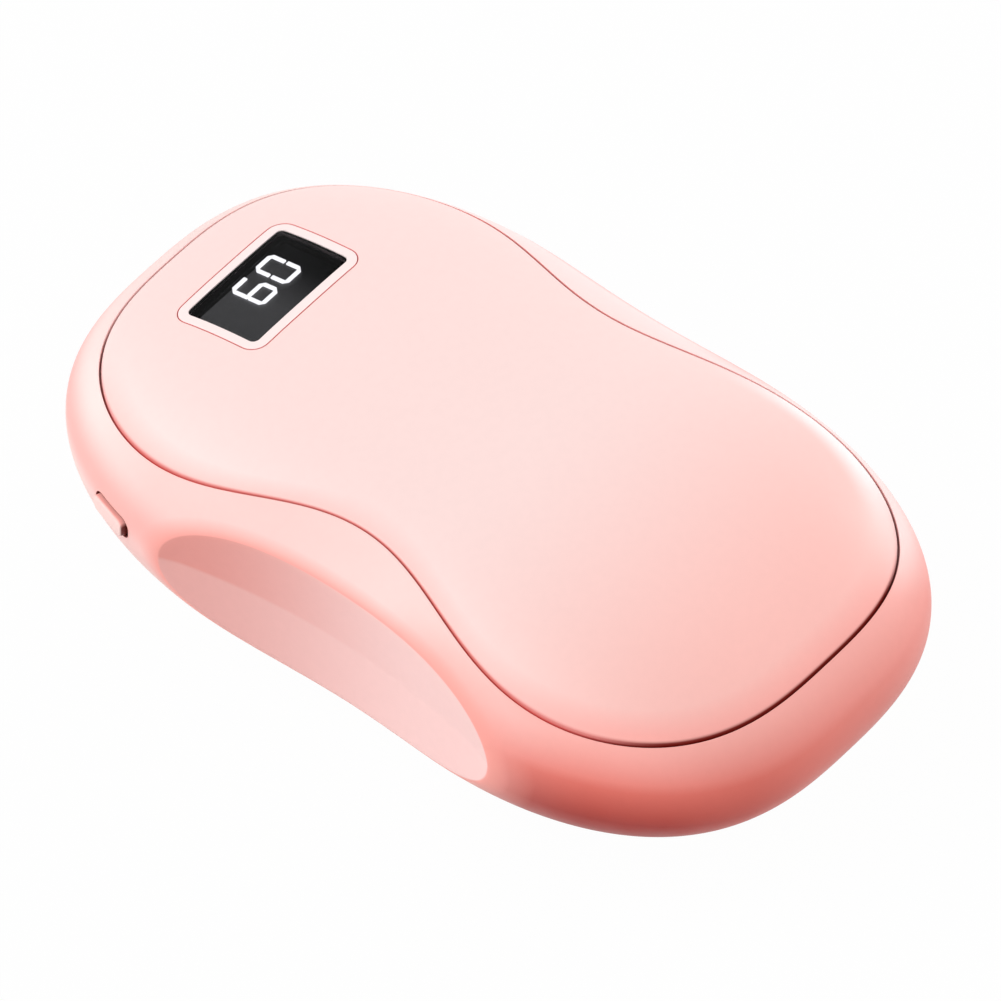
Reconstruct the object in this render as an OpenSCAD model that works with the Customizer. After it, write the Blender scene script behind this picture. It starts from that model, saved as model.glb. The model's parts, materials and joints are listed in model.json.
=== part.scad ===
// Rechargeable hand warmer: a waisted pebble with an inlaid cover on each face, a grip scoop in each
// flank, a number display, one side button and a charging port. X is the width, Y the length with the
// display towards +Y, and Z points up. The origin is the middle of the flat that it rests on.

/* [Body] */
// Overall length, along Y; the cells, the plates and the scoops between the two ends follow it
body_length = 108; // [92:1:126]
// Width of the rounded outline along X, before its flanks draw in
body_width = 66.4; // [65:0.2:76]
// Thickness of the pebble before its resting face is cut flat
body_thickness = 33; // [32:0.2:38]
// Depth of the flat that it rests on
rest_depth = 0.4; // [0.2:0.1:0.7]
// Share of its half width that the body loses at the waist
waist_share = 0.056; // [0:0.002:0.07]
// Place of the waist along Y
waist_y = -0.9; // [-4:0.1:4]
// Reach of the waist along Y
waist_reach = 18.8; // [15:0.2:24]
// Thickness of the side wall
wall = 2.2; // [1.6:0.1:2.6]

/* [Grip scoops] */
// Depth of a scoop below the flank at its deepest place
scoop_depth = 3.3; // [2:0.05:4]
// Place of the deepest place along Y
scoop_y = 0.8; // [-2:0.1:6]
// Room along the flank between a scoop's chord and the button
scoop_room = 5.3; // [3:0.1:8]

/* [Covers] */
// Distance from each end of the body to the seam, along Y
seam_end = 4.55; // [3.8:0.05:6]
// Distance from the flank to the seam, along X, before the seam draws in
seam_side = 2.8; // [2.2:0.05:3.6]
// Share of its half width that the seam loses at the waist
seam_waist_share = 0.278; // [0.2:0.002:0.29]
// Place of the seam's waist along Y
seam_waist_y = 1.6; // [-2:0.1:4]
// Reach of the seam's waist along Y
seam_waist_reach = 19.9; // [16:0.1:22]
// Thickness of a cover
cover_t = 1.8; // [1.5:0.1:2]
// Width of the groove between a cover and the frame
seam_gap = 0.25; // [0.15:0.05:0.4]
// Width of the ledge that carries a cover
ledge_width = 2; // [1.6:0.1:2.2]
// Thickness of that ledge
ledge_t = 1.6; // [1.2:0.1:2]
// Width of a snap hook
hook_width = 5; // [3:0.5:6]
// Thickness of a snap hook
hook_t = 1.2; // [0.8:0.1:1.4]
// Reach of a hook's tooth under the ledge
hook_tooth = 0.7; // [0.5:0.1:0.8]

/* [Display] */
// Width of the window, along X
window_width = 17.2; // [15:0.1:20]
// Height of the window, along Y
window_height = 10.5; // [9:0.1:10.6]
// Distance from the body's front end to the window's centre
window_end = 19.5; // [19:0.1:20.2]
// Corner radius of the window
window_corner = 0.8; // [0.5:0.1:2]
// Thickness of the window
window_t = 1; // [0.8:0.1:1.4]
// Depth of the window below the bezel's face
window_drop = 0.1; // [0.05:0.05:0.3]
// Border of the bezel round the window
bezel_border = 1.3; // [1:0.1:1.6]
// Depth of the bezel
bezel_depth = 2.6; // [2.4:0.1:3]
// Width of the bezel's flange behind the cover
flange_width = 1; // [0.8:0.1:1.2]
// Width of the lip that carries the window
lip_width = 0.6; // [0.5:0.1:0.8]
// Height of a digit
digit_height = 5.15; // [3.5:0.05:5.2]
// Width of a digit
digit_width = 3.3; // [2:0.05:3.4]
// Stroke of a digit
digit_stroke = 0.48; // [0.3:0.02:0.6]
// Distance between the centres of the two digits
digit_pitch = 4.3; // [4:0.05:5]
// Place of the digits to the right of the window's centre
digit_right = 1.5; // [0:0.05:1.6]
// Place of the digits above the window's centre
digit_up = 1.75; // [0:0.05:1.75]

/* [Battery] */
// Diameter of a cell
cell_diameter = 18.4; // [17:0.1:18.5]
// Gap between the two cells
cell_gap = 0.6; // [0.4:0.1:0.8]
// Distance from the body's rear end to the cells
cell_margin = 14.6; // [14:0.1:15.4]
// Room for the boards and the port between the cells and the body's front end
front_room = 28.4; // [28:0.1:30]
// Wall of the battery tray
tray_wall = 1.4; // [1:0.1:1.5]
// Depth of the tray's floor below the cells
tray_floor = 1.1; // [0.8:0.1:1.3]
// Height of the tray's rim below the cells' centre line
tray_rim = 2.5; // [2:0.1:4]

/* [Heaters] */
// How far a heat spreader reaches past the cells on each side
plate_rim = 0.5; // [0.2:0.1:1]
// Thickness of a heat spreader
plate_t = 0.6; // [0.4:0.1:0.8]
// Thickness of a heater film
film_t = 0.3; // [0.2:0.05:0.4]
// Width of the films' connecting tails
tail_width = 5; // [4:0.5:6]

/* [Boards] */
// Thickness of the main board
board_t = 1.6; // [1.2:0.1:1.8]
// Thickness of the display board
display_board_t = 1.2; // [1:0.1:1.4]
// Radius of the clamping screws' shanks
screw_r = 0.9; // [0.7:0.05:1]
// Radius of the screws' heads
screw_head_r = 1.8; // [1.5:0.1:2]
// Height of the screws' heads
screw_head_h = 1.2; // [0.9:0.1:1.4]

/* [Button] */
// Length of the button, along the flank
button_length = 6.2; // [5:0.1:9]
// Height of the button
button_height = 2.5; // [2.3:0.1:4.4]
// How far the button stands out of the flank
button_proud = 0.6; // [0.4:0.05:1]
// Distance from the body's front end to the button's middle
button_end = 20.1; // [18:0.1:21]
// Travel of the button
button_travel = 0.4; // [0.2:0.05:0.5]
// Clearance round the button
button_gap = 0.16; // [0.08:0.02:0.2]

/* [Charging port] */
// Width of the port's shell
port_width = 8.94; // [8.6:0.02:9.2]
// Height of the port's shell
port_height = 3.16; // [3:0.02:3.4]
// Length of the port's shell
port_length = 7.3; // [6.5:0.1:8]

/* [Hidden] */

// Smoothness of true circles and of the wide scoops, and points round an outline
$fn = 48;
scoop_sides = 180;
outline_count = 72;
side_count = 8;
wall_count = 6;
ring_shares = [0.3, 0.55, 0.74, 0.87, 0.955, 1];

// Roundness of the outlines and of the crowned faces, as exponents
body_power = 2.81;
seam_power = 2.914;
crown_power = 3.37;
edge_power = 2.04;
body_taper_share = -0.008;
seam_taper_share = -0.022;

// Clearances: between bonded layers, round loose fits, of a screw in its hole, and past a cut
bond_gap = 0.05;
loose_gap = 0.3;
screw_gap = 0.05;
overrun = 1;

// Halves of the body and the height of its middle plane above the resting face
half_length = body_length / 2;
half_thickness = body_thickness / 2;
middle_z = half_thickness - rest_depth;
half_seam_length = half_length - seam_end;
seam_width = body_width - 2 * seam_side;
window_y = half_length - window_end;
button_y = half_length - button_end;

// Scoops: each is part of an upright cylinder, on a chord that ends short of the button
scoop_half = button_y - button_length / 2 - scoop_room - scoop_y;
scoop_radius = (pow(scoop_half, 2) + pow(scoop_depth, 2)) / (2 * scoop_depth);
scoop_inner = flank(scoop_y) - scoop_depth;

// Depths of the layers behind a cover, measured down from its crowned face
seat_depth = cover_t + 2 * bond_gap;
plate_depth = cover_t + bond_gap;
film_depth = plate_depth + plate_t + bond_gap;
pad_depth = film_depth + film_t + bond_gap;

// Outline of the bezel and of the lip that the window lies on
bezel_width = window_width + 2 * bezel_border;
bezel_height = window_height + 2 * bezel_border;
bezel_corner = window_corner + bezel_border;
lip_inner_width = window_width - 2 * lip_width;
lip_inner_height = window_height - 2 * lip_width;
tape_t = 0.15;
seat_of_window = window_drop + window_t + bond_gap + tape_t + bond_gap;
flange_t = 1;

// Display module: it lies square to the crown under the window
digit_room = 0.4;
display_top_depth = seat_of_window + digit_room;
housing_t = 4;
housing_gap = 0.28;
digit_t = 0.2;
digit_chamfer = digit_stroke * 1.2;
digit_slit = 0.42;
// The six's upper stroke runs so far into its loop's cut corner
digit_overlap = 0.35;
board_boss_r = 2;
display_board_width = bezel_width + 2 * flange_width + 4.5 * board_boss_r;
display_board_height = lip_inner_height + lip_width;
display_boss_x = display_board_width / 2 - board_boss_r - bond_gap;
display_board_depth = display_top_depth + housing_t + bond_gap;

// Cells and tray
cell_r = cell_diameter / 2;
cell_x = cell_r + cell_gap / 2;
cell_length = body_length - cell_margin - front_room;
cell_back = cell_margin - half_length;
cell_front = cell_back + cell_length;
nub_r = 2.6;
nub_t = 0.6;
strip_t = 0.3;
strip_width = 7;
tray_gap = 0.15;
tray_back = cell_back - strip_t - 2 * bond_gap - tray_wall;
strip_front = cell_front + bond_gap + strip_t;
tray_front = strip_front + bond_gap + tray_wall;
tray_side = 0.4;
tray_half = 2 * cell_r + cell_gap / 2 + tray_gap + tray_side;
tray_bottom = cell_r + tray_gap + tray_floor;
protection_t = 1;
protection_height = 7.4;
protection_half = cell_x + strip_width * 0.65;

// Heat spreaders: as long as the cells, and clear of the covers' hooks
plate_length = cell_length;
plate_width = 2 * (cell_diameter + plate_rim) + cell_gap;
plate_inset = ledge_width + hook_t + loose_gap;

// Ears of the tray, in front of it and behind it
ear_r = 2.3;
ear_t = 2;
ear_top = -5;
ear_boss_r = 2.1;
screw_tip_gap = 1.2;
front_ear = [cell_x / 2, tray_front + ear_r];
rear_ear = [cell_x, tray_back - ear_r];

// Main board: it ends in the case's own outline, inset from the inner wall
board_top = -1.75;
board_bottom = board_top - board_t;
board_inset = 1.8;
board_space = 0.8;
board_back = tray_front + board_space;
board_front = half_length - wall - board_inset;
board_length = board_front - board_back;
board_half = body_width / 2 - wall - board_inset;
board_post_r = 2.4;
board_post_shares = [[-0.36, 0.27], [0.36, 0.27], [0, 0.68]];
hole_play = 0.25;
hole_r = screw_r + hole_play;
pilot_r = screw_r + screw_gap;
pilot_depth = 4;
chip_h = 0.9;
chip_size = 4.6;
chip_shares = [[0.2, 0.42, 1], [-0.2, 0.46, 0.75], [0.44, 0.66, 0.62]];
capacitor_size = 2;
capacitor_h = 1.3;
capacitor_shares = [[0.46, 0.4], [0.57, 0.4], [0.24, 0.7], [-0.24, 0.7], [0.33, 0.84]];
inductor_size = 6.6;
inductor_h = 3.6;
inductor_shares = [-0.46, 0.62];
header_count = 8;
header_pitch = 1.27;
pin_size = 0.5;
spacer_h = 2.2;
spacer_width = 2;
header_margin = 1.8;
header_y = board_back + header_margin;
socket_width = 6;
socket_length = 4;
socket_h = 1.8;
socket_x = board_half * 0.548;
tail_gap = 0.25;
tail_y = tray_front + tail_gap;
bead_r = 0.8;
bead_length = 2.6;
pad_front_share = 0.42;
bead_y = cell_front - (1 / 2 - pad_front_share) * cell_length / 2;
bead_depth = pad_depth + bead_r + loose_gap - crown(0, bead_y);
bead_room = 1.9;
pad_width_share = 0.86;
lead_r = 0.65;
lead_x = 8.5;
lead_sides = 8;
lead_steps = 8;

// Port: its shell stands on the board and ends just inside the body's end
port_z = board_top + port_height / 2 + bond_gap;
port_wall = 0.3;
port_corner = 1.1;
port_recess = 0.3;
port_gap = 0.15;
port_front = half_length - port_recess;
port_back = port_front - port_length;
tongue_t = 0.7;
tongue_width = 6.7;
tongue_length = port_length * 0.6;
tongue_base = port_length * 0.25;

// Button, seen from its own place on the flank: local X points out of the body
button_x = side_x(button_y);
button_step = button_length / 4;
button_slope = (side_x(button_y - button_step) - side_x(button_y + button_step)) / (2 * button_step);
button_angle = 180 - atan(button_slope);
button_corner = 1;
button_flange = 1;
button_flange_t = 0.8;
button_flange_x = -wall - bond_gap;
stem_r = 1;
stem_length = 1.2;
stem_end = button_flange_x - button_flange_t - stem_length;
pocket_gap = 0.5;
plunger_r = 0.8;
plunger_length = 2.3;
plunger_gap = 0.06;
plunger_tip = stem_end - bond_gap;
switch_nose = 0.5;
switch_front = plunger_tip - button_travel - switch_nose;
switch_depth = 3.5;
switch_width = 4.6;
switch_height = 3.5;

// Angles round the outline at which the covers hook into the frame
hook_angles = [32, 90, 148, 212, 270, 328];
hook_h = 1.1;
hook_gap = 0.75;

// Outlines and crown

// Share of the width that is left at y, where the flanks draw in
function draw_in(y, share, place, reach) = 1 - share * exp(-pow((y - place) / reach, 2));

// Half width of the body at y, before its ends close
function flank(y) =
    body_width / 2
        * (1 + body_taper_share * y / half_length)
        * draw_in(y, waist_share, waist_y, waist_reach);

// Share of the way from the centre to the body's outline, at a place seen from above
function level(x, y) =
    pow(pow(abs(x) / flank(y), body_power) + pow(abs(y) / half_length, body_power), 1 / body_power);

// Height of the crowned face above the middle plane
function crown(x, y) = half_thickness * pow(max(0, 1 - pow(level(x, y), crown_power)), 1 / edge_power);

// Half width of the body's outline at y
function side_x(y) = flank(y) * pow(1 - pow(abs(y) / half_length, body_power), 1 / body_power);

// Point of a rounded outline at an angle, before its flanks draw in
function round_point(angle, half_x, half_y, power) =
    let (r = 1 / pow(pow(abs(cos(angle)) / half_x, power) + pow(abs(sin(angle)) / half_y, power), 1 / power))
    [r * cos(angle), r * sin(angle)];

// Point of the body's outline, moved in by an inset
function body_point(angle, inset = 0) =
    let (p = round_point(angle, body_width / 2 - inset, half_length - inset, body_power))
    [
        p.x * (1 + body_taper_share * p.y / half_length) * draw_in(p.y, waist_share, waist_y, waist_reach),
        p.y
    ];

// Point of the seam, moved in by an inset
function seam_point(angle, inset = 0) =
    let (p = round_point(angle, seam_width / 2 - inset, half_seam_length - inset, seam_power))
    [
        p.x * (1 + seam_taper_share * p.y / half_length)
            * draw_in(p.y, seam_waist_share, seam_waist_y, seam_waist_reach),
        p.y
    ];

// Distance from the centre line to a scoop's face at y
function scoop_x(y) = scoop_inner + scoop_radius - sqrt(pow(scoop_radius, 2) - pow(y - scoop_y, 2));

// Point of the cavity's outline: the body's outline or the scoop's face, less the wall
function cavity_point(angle, inset = 0) =
    let (
        p = body_point(angle, wall + inset),
        limit = abs(p.y - scoop_y) < scoop_radius ? scoop_x(p.y) - wall - inset : body_width
    )
    [sign(p.x) * min(abs(p.x), limit), p.y];

function mix(a, b, share) = a + (b - a) * share;
function outline_angle(i) = 360 * i / outline_count;

// Half of the frame's section at an angle, from the seam's edge out to the middle plane
function outer_half(angle) =
    let (s = seam_point(angle), e = body_point(angle))
    [for (i = [0:side_count]) let (p = mix(s, e, sin(90 * i / side_count))) [p.x, p.y, crown(p.x, p.y)]];

// Half of its inner side, from the middle plane in to the seam's edge
function inner_half(angle) =
    let (
        s = seam_point(angle),
        f = seam_point(angle, ledge_width),
        c = cavity_point(angle),
        ledge_z = crown(f.x, f.y) - seat_depth,
        under_z = ledge_z - ledge_t
    )
    concat(
        [
            for (i = [wall_count:-1:0])
            let (p = mix(f, c, sin(90 * i / wall_count)))
            [p.x, p.y, under_z * cos(90 * i / wall_count)]
        ],
        [[f.x, f.y, ledge_z], [s.x, s.y, crown(s.x, s.y) - seat_depth]]
    );

function mirrored(points) = [for (i = [len(points) - 1:-1:0]) [points[i].x, points[i].y, -points[i].z]];
function tail_of(points) = [for (i = [1:len(points) - 1]) points[i]];

// Closed section of the frame at an angle
function frame_section(angle) =
    let (outer = outer_half(angle), inner = inner_half(angle))
    concat(outer, tail_of(mirrored(outer)), mirrored(inner), tail_of(inner));

// Faces that join closed sections into a ring
function loop_faces(rings, count) = [
    for (i = [0:rings - 1], j = [0:count - 1])
    let (a = i * count + j, b = i * count + (j + 1) % count, k = (i + 1) % rings * count)
    each [[a, b, k + (j + 1) % count], [a, k + (j + 1) % count, k + j]]
];

// Shared solids

module from_middle() {
    translate([0, 0, middle_z]) children();
}

// Crowned layer inside the seam, between two depths below the crowned face
module crown_layer(upper, lower, inset = 0) {
    rings = len(ring_shares);
    rows = [
        for (s = ring_shares, i = [0:outline_count - 1])
        let (p = seam_point(outline_angle(i), inset) * s)
        [p.x, p.y, crown(p.x, p.y)]
    ];
    size = len(rows);
    above = [for (p = rows) [p.x, p.y, p.z - upper]];
    below = [for (p = rows) [p.x, p.y, p.z - lower]];
    tip = 2 * size;
    base = (rings - 1) * outline_count;
    fans = [
        for (i = [0:outline_count - 1])
        let (n = (i + 1) % outline_count)
        each [[tip, n, i], [tip + 1, size + i, size + n]]
    ];
    bands = [
        for (r = [0:rings - 2], i = [0:outline_count - 1])
        let (n = (i + 1) % outline_count, a = r * outline_count, b = a + outline_count)
        each [
            [a + i, a + n, b + n], [a + i, b + n, b + i],
            [size + a + i, size + b + n, size + a + n], [size + a + i, size + b + i, size + b + n]
        ]
    ];
    rim = [
        for (i = [0:outline_count - 1])
        let (n = (i + 1) % outline_count)
        each [[base + i, base + n, size + base + n], [base + i, size + base + n, size + base + i]]
    ];
    polyhedron(
        points = concat(above, below, [[0, 0, half_thickness - upper], [0, 0, half_thickness - lower]]),
        faces = concat(fans, bands, rim)
    );
}

// Rectangle with round corners, centred
module rounded(width, height, radius) {
    square([width - 2 * radius, height], center = true);
    square([width, height - 2 * radius], center = true);
    for (x = [-1, 1], y = [-1, 1])
        translate([x * (width / 2 - radius), y * (height / 2 - radius)]) circle(radius);
}

// Upright column with a rounded outline over the window's place
module window_column(width, height, radius) {
    translate([0, window_y, 0]) linear_extrude(body_thickness) rounded(width, height, radius);
}

module box(size, center_x, from_y, from_z) {
    translate([center_x - size.x / 2, from_y, from_z]) cube(size);
}

module upright(r, h, place, from_z) {
    translate([place.x, place.y, from_z]) cylinder(r = r, h = h);
}

// What grows out of a cover's inner side, trimmed inside the cover's own thickness
module rooted() {
    intersection() {
        children();
        crown_layer(cover_t / 2, body_thickness);
    }
}

// Snap hooks that hang behind a cover and catch under the frame's ledge
module cover_hooks() {
    for (angle = hook_angles) {
        f = seam_point(angle, ledge_width);
        step = seam_point(angle + 1, ledge_width) - seam_point(angle - 1, ledge_width);
        under = crown(f.x, f.y) - seat_depth - ledge_t - hook_gap;
        translate([f.x, f.y, 0]) rotate([0, 0, atan2(step.y, step.x) - 90]) {
            translate([-loose_gap - hook_t, -hook_width / 2, under - hook_h])
                cube([hook_t, hook_width, half_thickness - under + hook_h]);
            translate([-loose_gap - hook_t, -hook_width / 2, under - hook_h])
                cube([hook_t + loose_gap + hook_tooth, hook_width, hook_h]);
        }
    }
}

// Screw with its head above z = 0 and its shank below
module screw(length) {
    cylinder(r = screw_head_r, h = screw_head_h);
    translate([0, 0, -length]) cylinder(r = screw_r, h = length + overrun / 2);
}

// Places of the display module, square to the crown at the window's centre
module at_display() {
    rise = crown(0, window_y - window_height / 2) - crown(0, window_y + window_height / 2);
    translate([0, window_y, crown(0, window_y)]) rotate([-atan(rise / window_height), 0, 0]) children();
}

// Depth of the bottom cover's inner face below the middle plane, at a place seen from above
function floor_depth(place) = crown(place.x, place.y) - cover_t;

function board_post(shares) = [shares.x * board_half, board_back + shares.y * board_length];

// Places of the tray's ears
function ears() = [
    for (x = [-1, 1]) each [[x * front_ear.x, front_ear.y], [x * rear_ear.x, rear_ear.y]]
];

// Opening inside the bezel's lip, in line with the display module
module lip_column() {
    at_display()
        translate([0, 0, -half_thickness])
            linear_extrude(body_thickness) rounded(lip_inner_width, lip_inner_height, window_corner);
}

module at_button() {
    translate([-button_x, button_y, 0]) rotate([0, 0, button_angle]) children();
}

// Bar along local X with the button's rounded section, grown by an amount
module button_bar(from_x, to_x, grow) {
    translate([from_x, 0, 0]) rotate([0, 90, 0]) linear_extrude(to_x - from_x)
        rounded(button_height + 2 * grow, button_length + 2 * grow, button_corner + grow);
}

// Bar along Y with the port's rounded section, grown by an amount
module port_bar(from_y, to_y, grow) {
    translate([0, to_y, port_z]) rotate([90, 0, 0]) linear_extrude(to_y - from_y)
        rounded(port_width + 2 * grow, port_height + 2 * grow, port_corner + grow);
}

// Case

module top_cover() {
    color("#fbd3cd") from_middle() {
        difference() {
            union() {
                crown_layer(0, cover_t, seam_gap);
                rooted() {
                    cover_hooks();
                    at_display()
                        for (x = [-1, 1])
                            translate([x * display_boss_x, 0, -display_board_depth + bond_gap])
                                cylinder(r = board_boss_r, h = display_board_depth);
                }
            }
            window_column(bezel_width + 2 * bond_gap, bezel_height + 2 * bond_gap, bezel_corner);
            at_display()
                for (x = [-1, 1])
                    translate([x * display_boss_x, 0, -display_board_depth - overrun])
                        cylinder(r = pilot_r, h = overrun + pilot_depth);
        }
    }
}

module mid_frame() {
    color("#f4b6ae") from_middle() {
        difference() {
            polyhedron(
                points = [for (i = [0:outline_count - 1]) each frame_section(outline_angle(i))],
                faces = loop_faces(outline_count, len(frame_section(0)))
            );
            for (x = [-1, 1])
                translate([x * (scoop_inner + scoop_radius), scoop_y, -half_thickness])
                    cylinder(r = scoop_radius, h = body_thickness, $fn = scoop_sides);
            port_bar(port_back, half_length + overrun, port_gap);
            at_button() {
                button_bar(-wall - overrun, button_proud + overrun, button_gap);
                button_bar(plunger_tip - overrun, -wall, button_flange + pocket_gap);
            }
        }
    }
}

module bottom_cover() {
    color("#f4b6ae") from_middle() {
        difference() {
            union() {
                mirror([0, 0, 1]) {
                    crown_layer(0, cover_t, seam_gap);
                    rooted() {
                        cover_hooks();
                        for (shares = board_post_shares)
                            upright(
                                board_post_r, half_thickness, board_post(shares), bond_gap - board_bottom
                            );
                        for (place = ears())
                            upright(ear_boss_r, half_thickness, place, ear_t + bond_gap - ear_top);
                    }
                }
            }
            for (shares = board_post_shares)
                upright(pilot_r, pilot_depth + overrun, board_post(shares), board_bottom - pilot_depth);
            for (place = ears())
                upright(pilot_r, floor_depth(place) + ear_top, place, -floor_depth(place));
            translate([-half_length, -half_length, -half_thickness - overrun])
                cube([body_length, body_length, rest_depth + overrun]);
        }
    }
}

// Display

module display_bezel() {
    color("#fcdcd6") from_middle() {
        difference() {
            union() {
                intersection() {
                    crown_layer(0, bezel_depth);
                    window_column(bezel_width, bezel_height, bezel_corner);
                }
                intersection() {
                    crown_layer(cover_t + bond_gap, cover_t + bond_gap + flange_t);
                    window_column(
                        bezel_width + 2 * flange_width,
                        bezel_height + 2 * flange_width,
                        bezel_corner + flange_width
                    );
                }
            }
            intersection() {
                crown_layer(-overrun, seat_of_window);
                window_column(window_width + 2 * bond_gap, window_height + 2 * bond_gap, window_corner);
            }
            lip_column();
        }
    }
}

module display_window() {
    color("#101214", 0.9) from_middle() {
        intersection() {
            crown_layer(window_drop, window_drop + window_t);
            window_column(window_width, window_height, window_corner);
        }
    }
}

module window_tape() {
    color("#202020") from_middle() {
        difference() {
            intersection() {
                crown_layer(window_drop + window_t + bond_gap, window_drop + window_t + bond_gap + tape_t);
                window_column(window_width, window_height, window_corner);
            }
            lip_column();
        }
    }
}

// Outline of a digit's loop, with its corners cut off
module digit_block(height, inset) {
    w = digit_width / 2 - inset;
    h = height / 2 - inset;
    c = digit_chamfer - inset * 1.1;
    polygon([
        [c - w, -h], [w - c, -h], [w, c - h], [w, h - c],
        [w - c, h], [c - w, h], [-w, h - c], [-w, c - h]
    ]);
}

module digit_loop(height) {
    difference() {
        digit_block(height, 0);
        digit_block(height, digit_stroke);
    }
}

// Lower loop shared by both digits' size, as tall as half a digit and half a stroke
lower_loop = (digit_height + digit_stroke) / 2;

module digit_zero() {
    difference() {
        digit_loop(digit_height);
        square([digit_width + overrun, digit_slit], center = true);
    }
}

module digit_six() {
    translate([0, (lower_loop - digit_height) / 2]) digit_loop(lower_loop);
    difference() {
        digit_loop(digit_height);
        translate([-digit_width / 2 - overrun, -digit_height / 2 - overrun])
            square([digit_width + 2 * overrun, digit_height / 2 + overrun + digit_stroke / 2 - digit_overlap]);
        translate([digit_width / 2 - digit_stroke - digit_slit / 6, -digit_overlap])
            square([digit_stroke + overrun, digit_height + digit_overlap]);
    }
}

module display_digits() {
    color("white") from_middle() at_display()
        translate([digit_right, digit_up, -display_top_depth + bond_gap])
            linear_extrude(digit_t) {
                translate([-digit_pitch / 2, 0]) digit_six();
                translate([digit_pitch / 2, 0]) digit_zero();
            }
}

module display_housing() {
    color("#151515") from_middle() at_display()
        translate([0, 0, -display_top_depth - housing_t])
            linear_extrude(housing_t)
                rounded(
                    lip_inner_width - 2 * housing_gap, lip_inner_height - 2 * housing_gap, window_corner / 2
                );
}

module display_board() {
    color("#1f6b45") from_middle() at_display()
        translate([0, 0, -display_board_depth - display_board_t])
            linear_extrude(display_board_t)
                difference() {
                    rounded(display_board_width, display_board_height, window_corner);
                    for (x = [-1, 1])
                        translate([x * display_boss_x, 0]) circle(hole_r);
                }
}

module display_screws() {
    color("silver") from_middle() at_display()
        for (x = [-1, 1])
            translate([x * display_boss_x, 0, -display_board_depth - display_board_t - bond_gap])
                mirror([0, 0, 1]) screw(display_board_t + pilot_depth / 2);
}

// Height of the display board's lower face over a place at y
function display_under(y) =
    let (
        rise = crown(0, window_y - window_height / 2) - crown(0, window_y + window_height / 2),
        tilt = atan(rise / window_height)
    )
    crown(0, window_y) - (y - window_y) * tan(tilt) - (display_board_depth + display_board_t) / cos(tilt);

function header_x(i) = (i - (header_count - 1) / 2) * header_pitch;

module header_pins() {
    top = display_under(header_y + pin_size / 2) - bond_gap;
    color("gold") from_middle()
        for (i = [0:header_count - 1])
            box(
                [pin_size, pin_size, top - board_top - bond_gap],
                header_x(i), header_y - pin_size / 2, board_top + bond_gap
            );
}

module header_spacer() {
    color("#202020") from_middle()
        difference() {
            box(
                [header_count * header_pitch, spacer_width, spacer_h],
                0, header_y - spacer_width / 2, board_top + bond_gap
            );
            for (i = [0:header_count - 1])
                box(
                    [pin_size + 2 * bond_gap, pin_size + 2 * bond_gap, spacer_h + 2 * overrun],
                    header_x(i), header_y - pin_size / 2 - bond_gap, board_top - overrun
                );
        }
}

// Main board and what it carries

module main_board() {
    color("#1f6b45") from_middle()
        translate([0, 0, board_bottom])
            linear_extrude(board_t)
                difference() {
                    intersection() {
                        polygon([
                            for (i = [0:outline_count - 1]) cavity_point(outline_angle(i), board_inset)
                        ]);
                        translate([-body_width / 2, board_back])
                            square([body_width, board_length + overrun]);
                    }
                    for (shares = board_post_shares)
                        translate(board_post(shares)) circle(hole_r);
                }
}

module board_screws() {
    color("silver") from_middle()
        for (shares = board_post_shares) {
            place = board_post(shares);
            translate([place.x, place.y, board_top + bond_gap]) screw(board_t + pilot_depth / 2);
        }
}

module board_chips() {
    color("#1b1b1d") from_middle()
        for (c = chip_shares) {
            place = board_post(c);
            size = chip_size * c[2];
            box([size, size, chip_h], place.x, place.y - size / 2, board_top + bond_gap);
        }
}

module board_capacitors() {
    color("#b79b6a") from_middle()
        for (c = capacitor_shares) {
            place = board_post(c);
            box(
                [capacitor_size / 2, capacitor_size, capacitor_h],
                place.x, place.y - capacitor_size / 2, board_top + bond_gap
            );
        }
}

module power_inductor() {
    place = board_post(inductor_shares);
    color("#3a3a3c") from_middle()
        translate([place.x, place.y, board_top + bond_gap])
            linear_extrude(inductor_h) rounded(inductor_size, inductor_size, inductor_size / 8);
}

module heater_sockets() {
    color("ivory") from_middle()
        for (x = [-1, 1])
            box(
                [socket_width, socket_length, socket_h],
                x * socket_x, tail_y + film_t + bond_gap, board_top + bond_gap
            );
}

module port_shell() {
    color("silver") from_middle()
        difference() {
            port_bar(port_back, port_front, 0);
            port_bar(port_back - overrun, port_front + overrun, -port_wall);
        }
}

module port_tongue() {
    color("#202020") from_middle() {
        port_bar(port_back + bond_gap, port_back + tongue_base, -port_wall - bond_gap);
        box(
            [tongue_width, tongue_length, tongue_t],
            0, port_back + tongue_base - bond_gap, port_z - tongue_t / 2
        );
    }
}

// Button and switch

module power_button() {
    color("#f4b6ae") from_middle() at_button() {
        button_bar(button_flange_x - button_flange_t / 2, button_proud, 0);
        button_bar(button_flange_x - button_flange_t, button_flange_x, button_flange);
        translate([stem_end, 0, 0]) rotate([0, 90, 0])
            cylinder(r = stem_r, h = button_flange_x - button_flange_t / 2 - stem_end);
    }
}

module switch_plunger() {
    color("#d8d4c8") from_middle() at_button()
        translate([plunger_tip - plunger_length, 0, 0]) rotate([0, 90, 0])
            cylinder(r = plunger_r, h = plunger_length);
}

module switch_body() {
    bore = plunger_length - (plunger_tip - switch_front) + button_travel + loose_gap;
    color("#26262a") from_middle() at_button()
        difference() {
            translate([switch_front - switch_depth, -switch_width / 2, board_top + bond_gap])
                cube([switch_depth, switch_width, switch_height]);
            translate([switch_front - bore, 0, 0]) rotate([0, 90, 0])
                cylinder(r = plunger_r + plunger_gap, h = bore + overrun);
        }
}

// Battery

module tray_ear(place) {
    reach = ear_r + tray_wall / 2;
    translate([place.x, place.y, ear_top - ear_t]) cylinder(r = ear_r, h = ear_t);
    box([2 * ear_r, reach, ear_t], place.x, place.y < tray_back ? place.y : place.y - reach, ear_top - ear_t);
}

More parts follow.
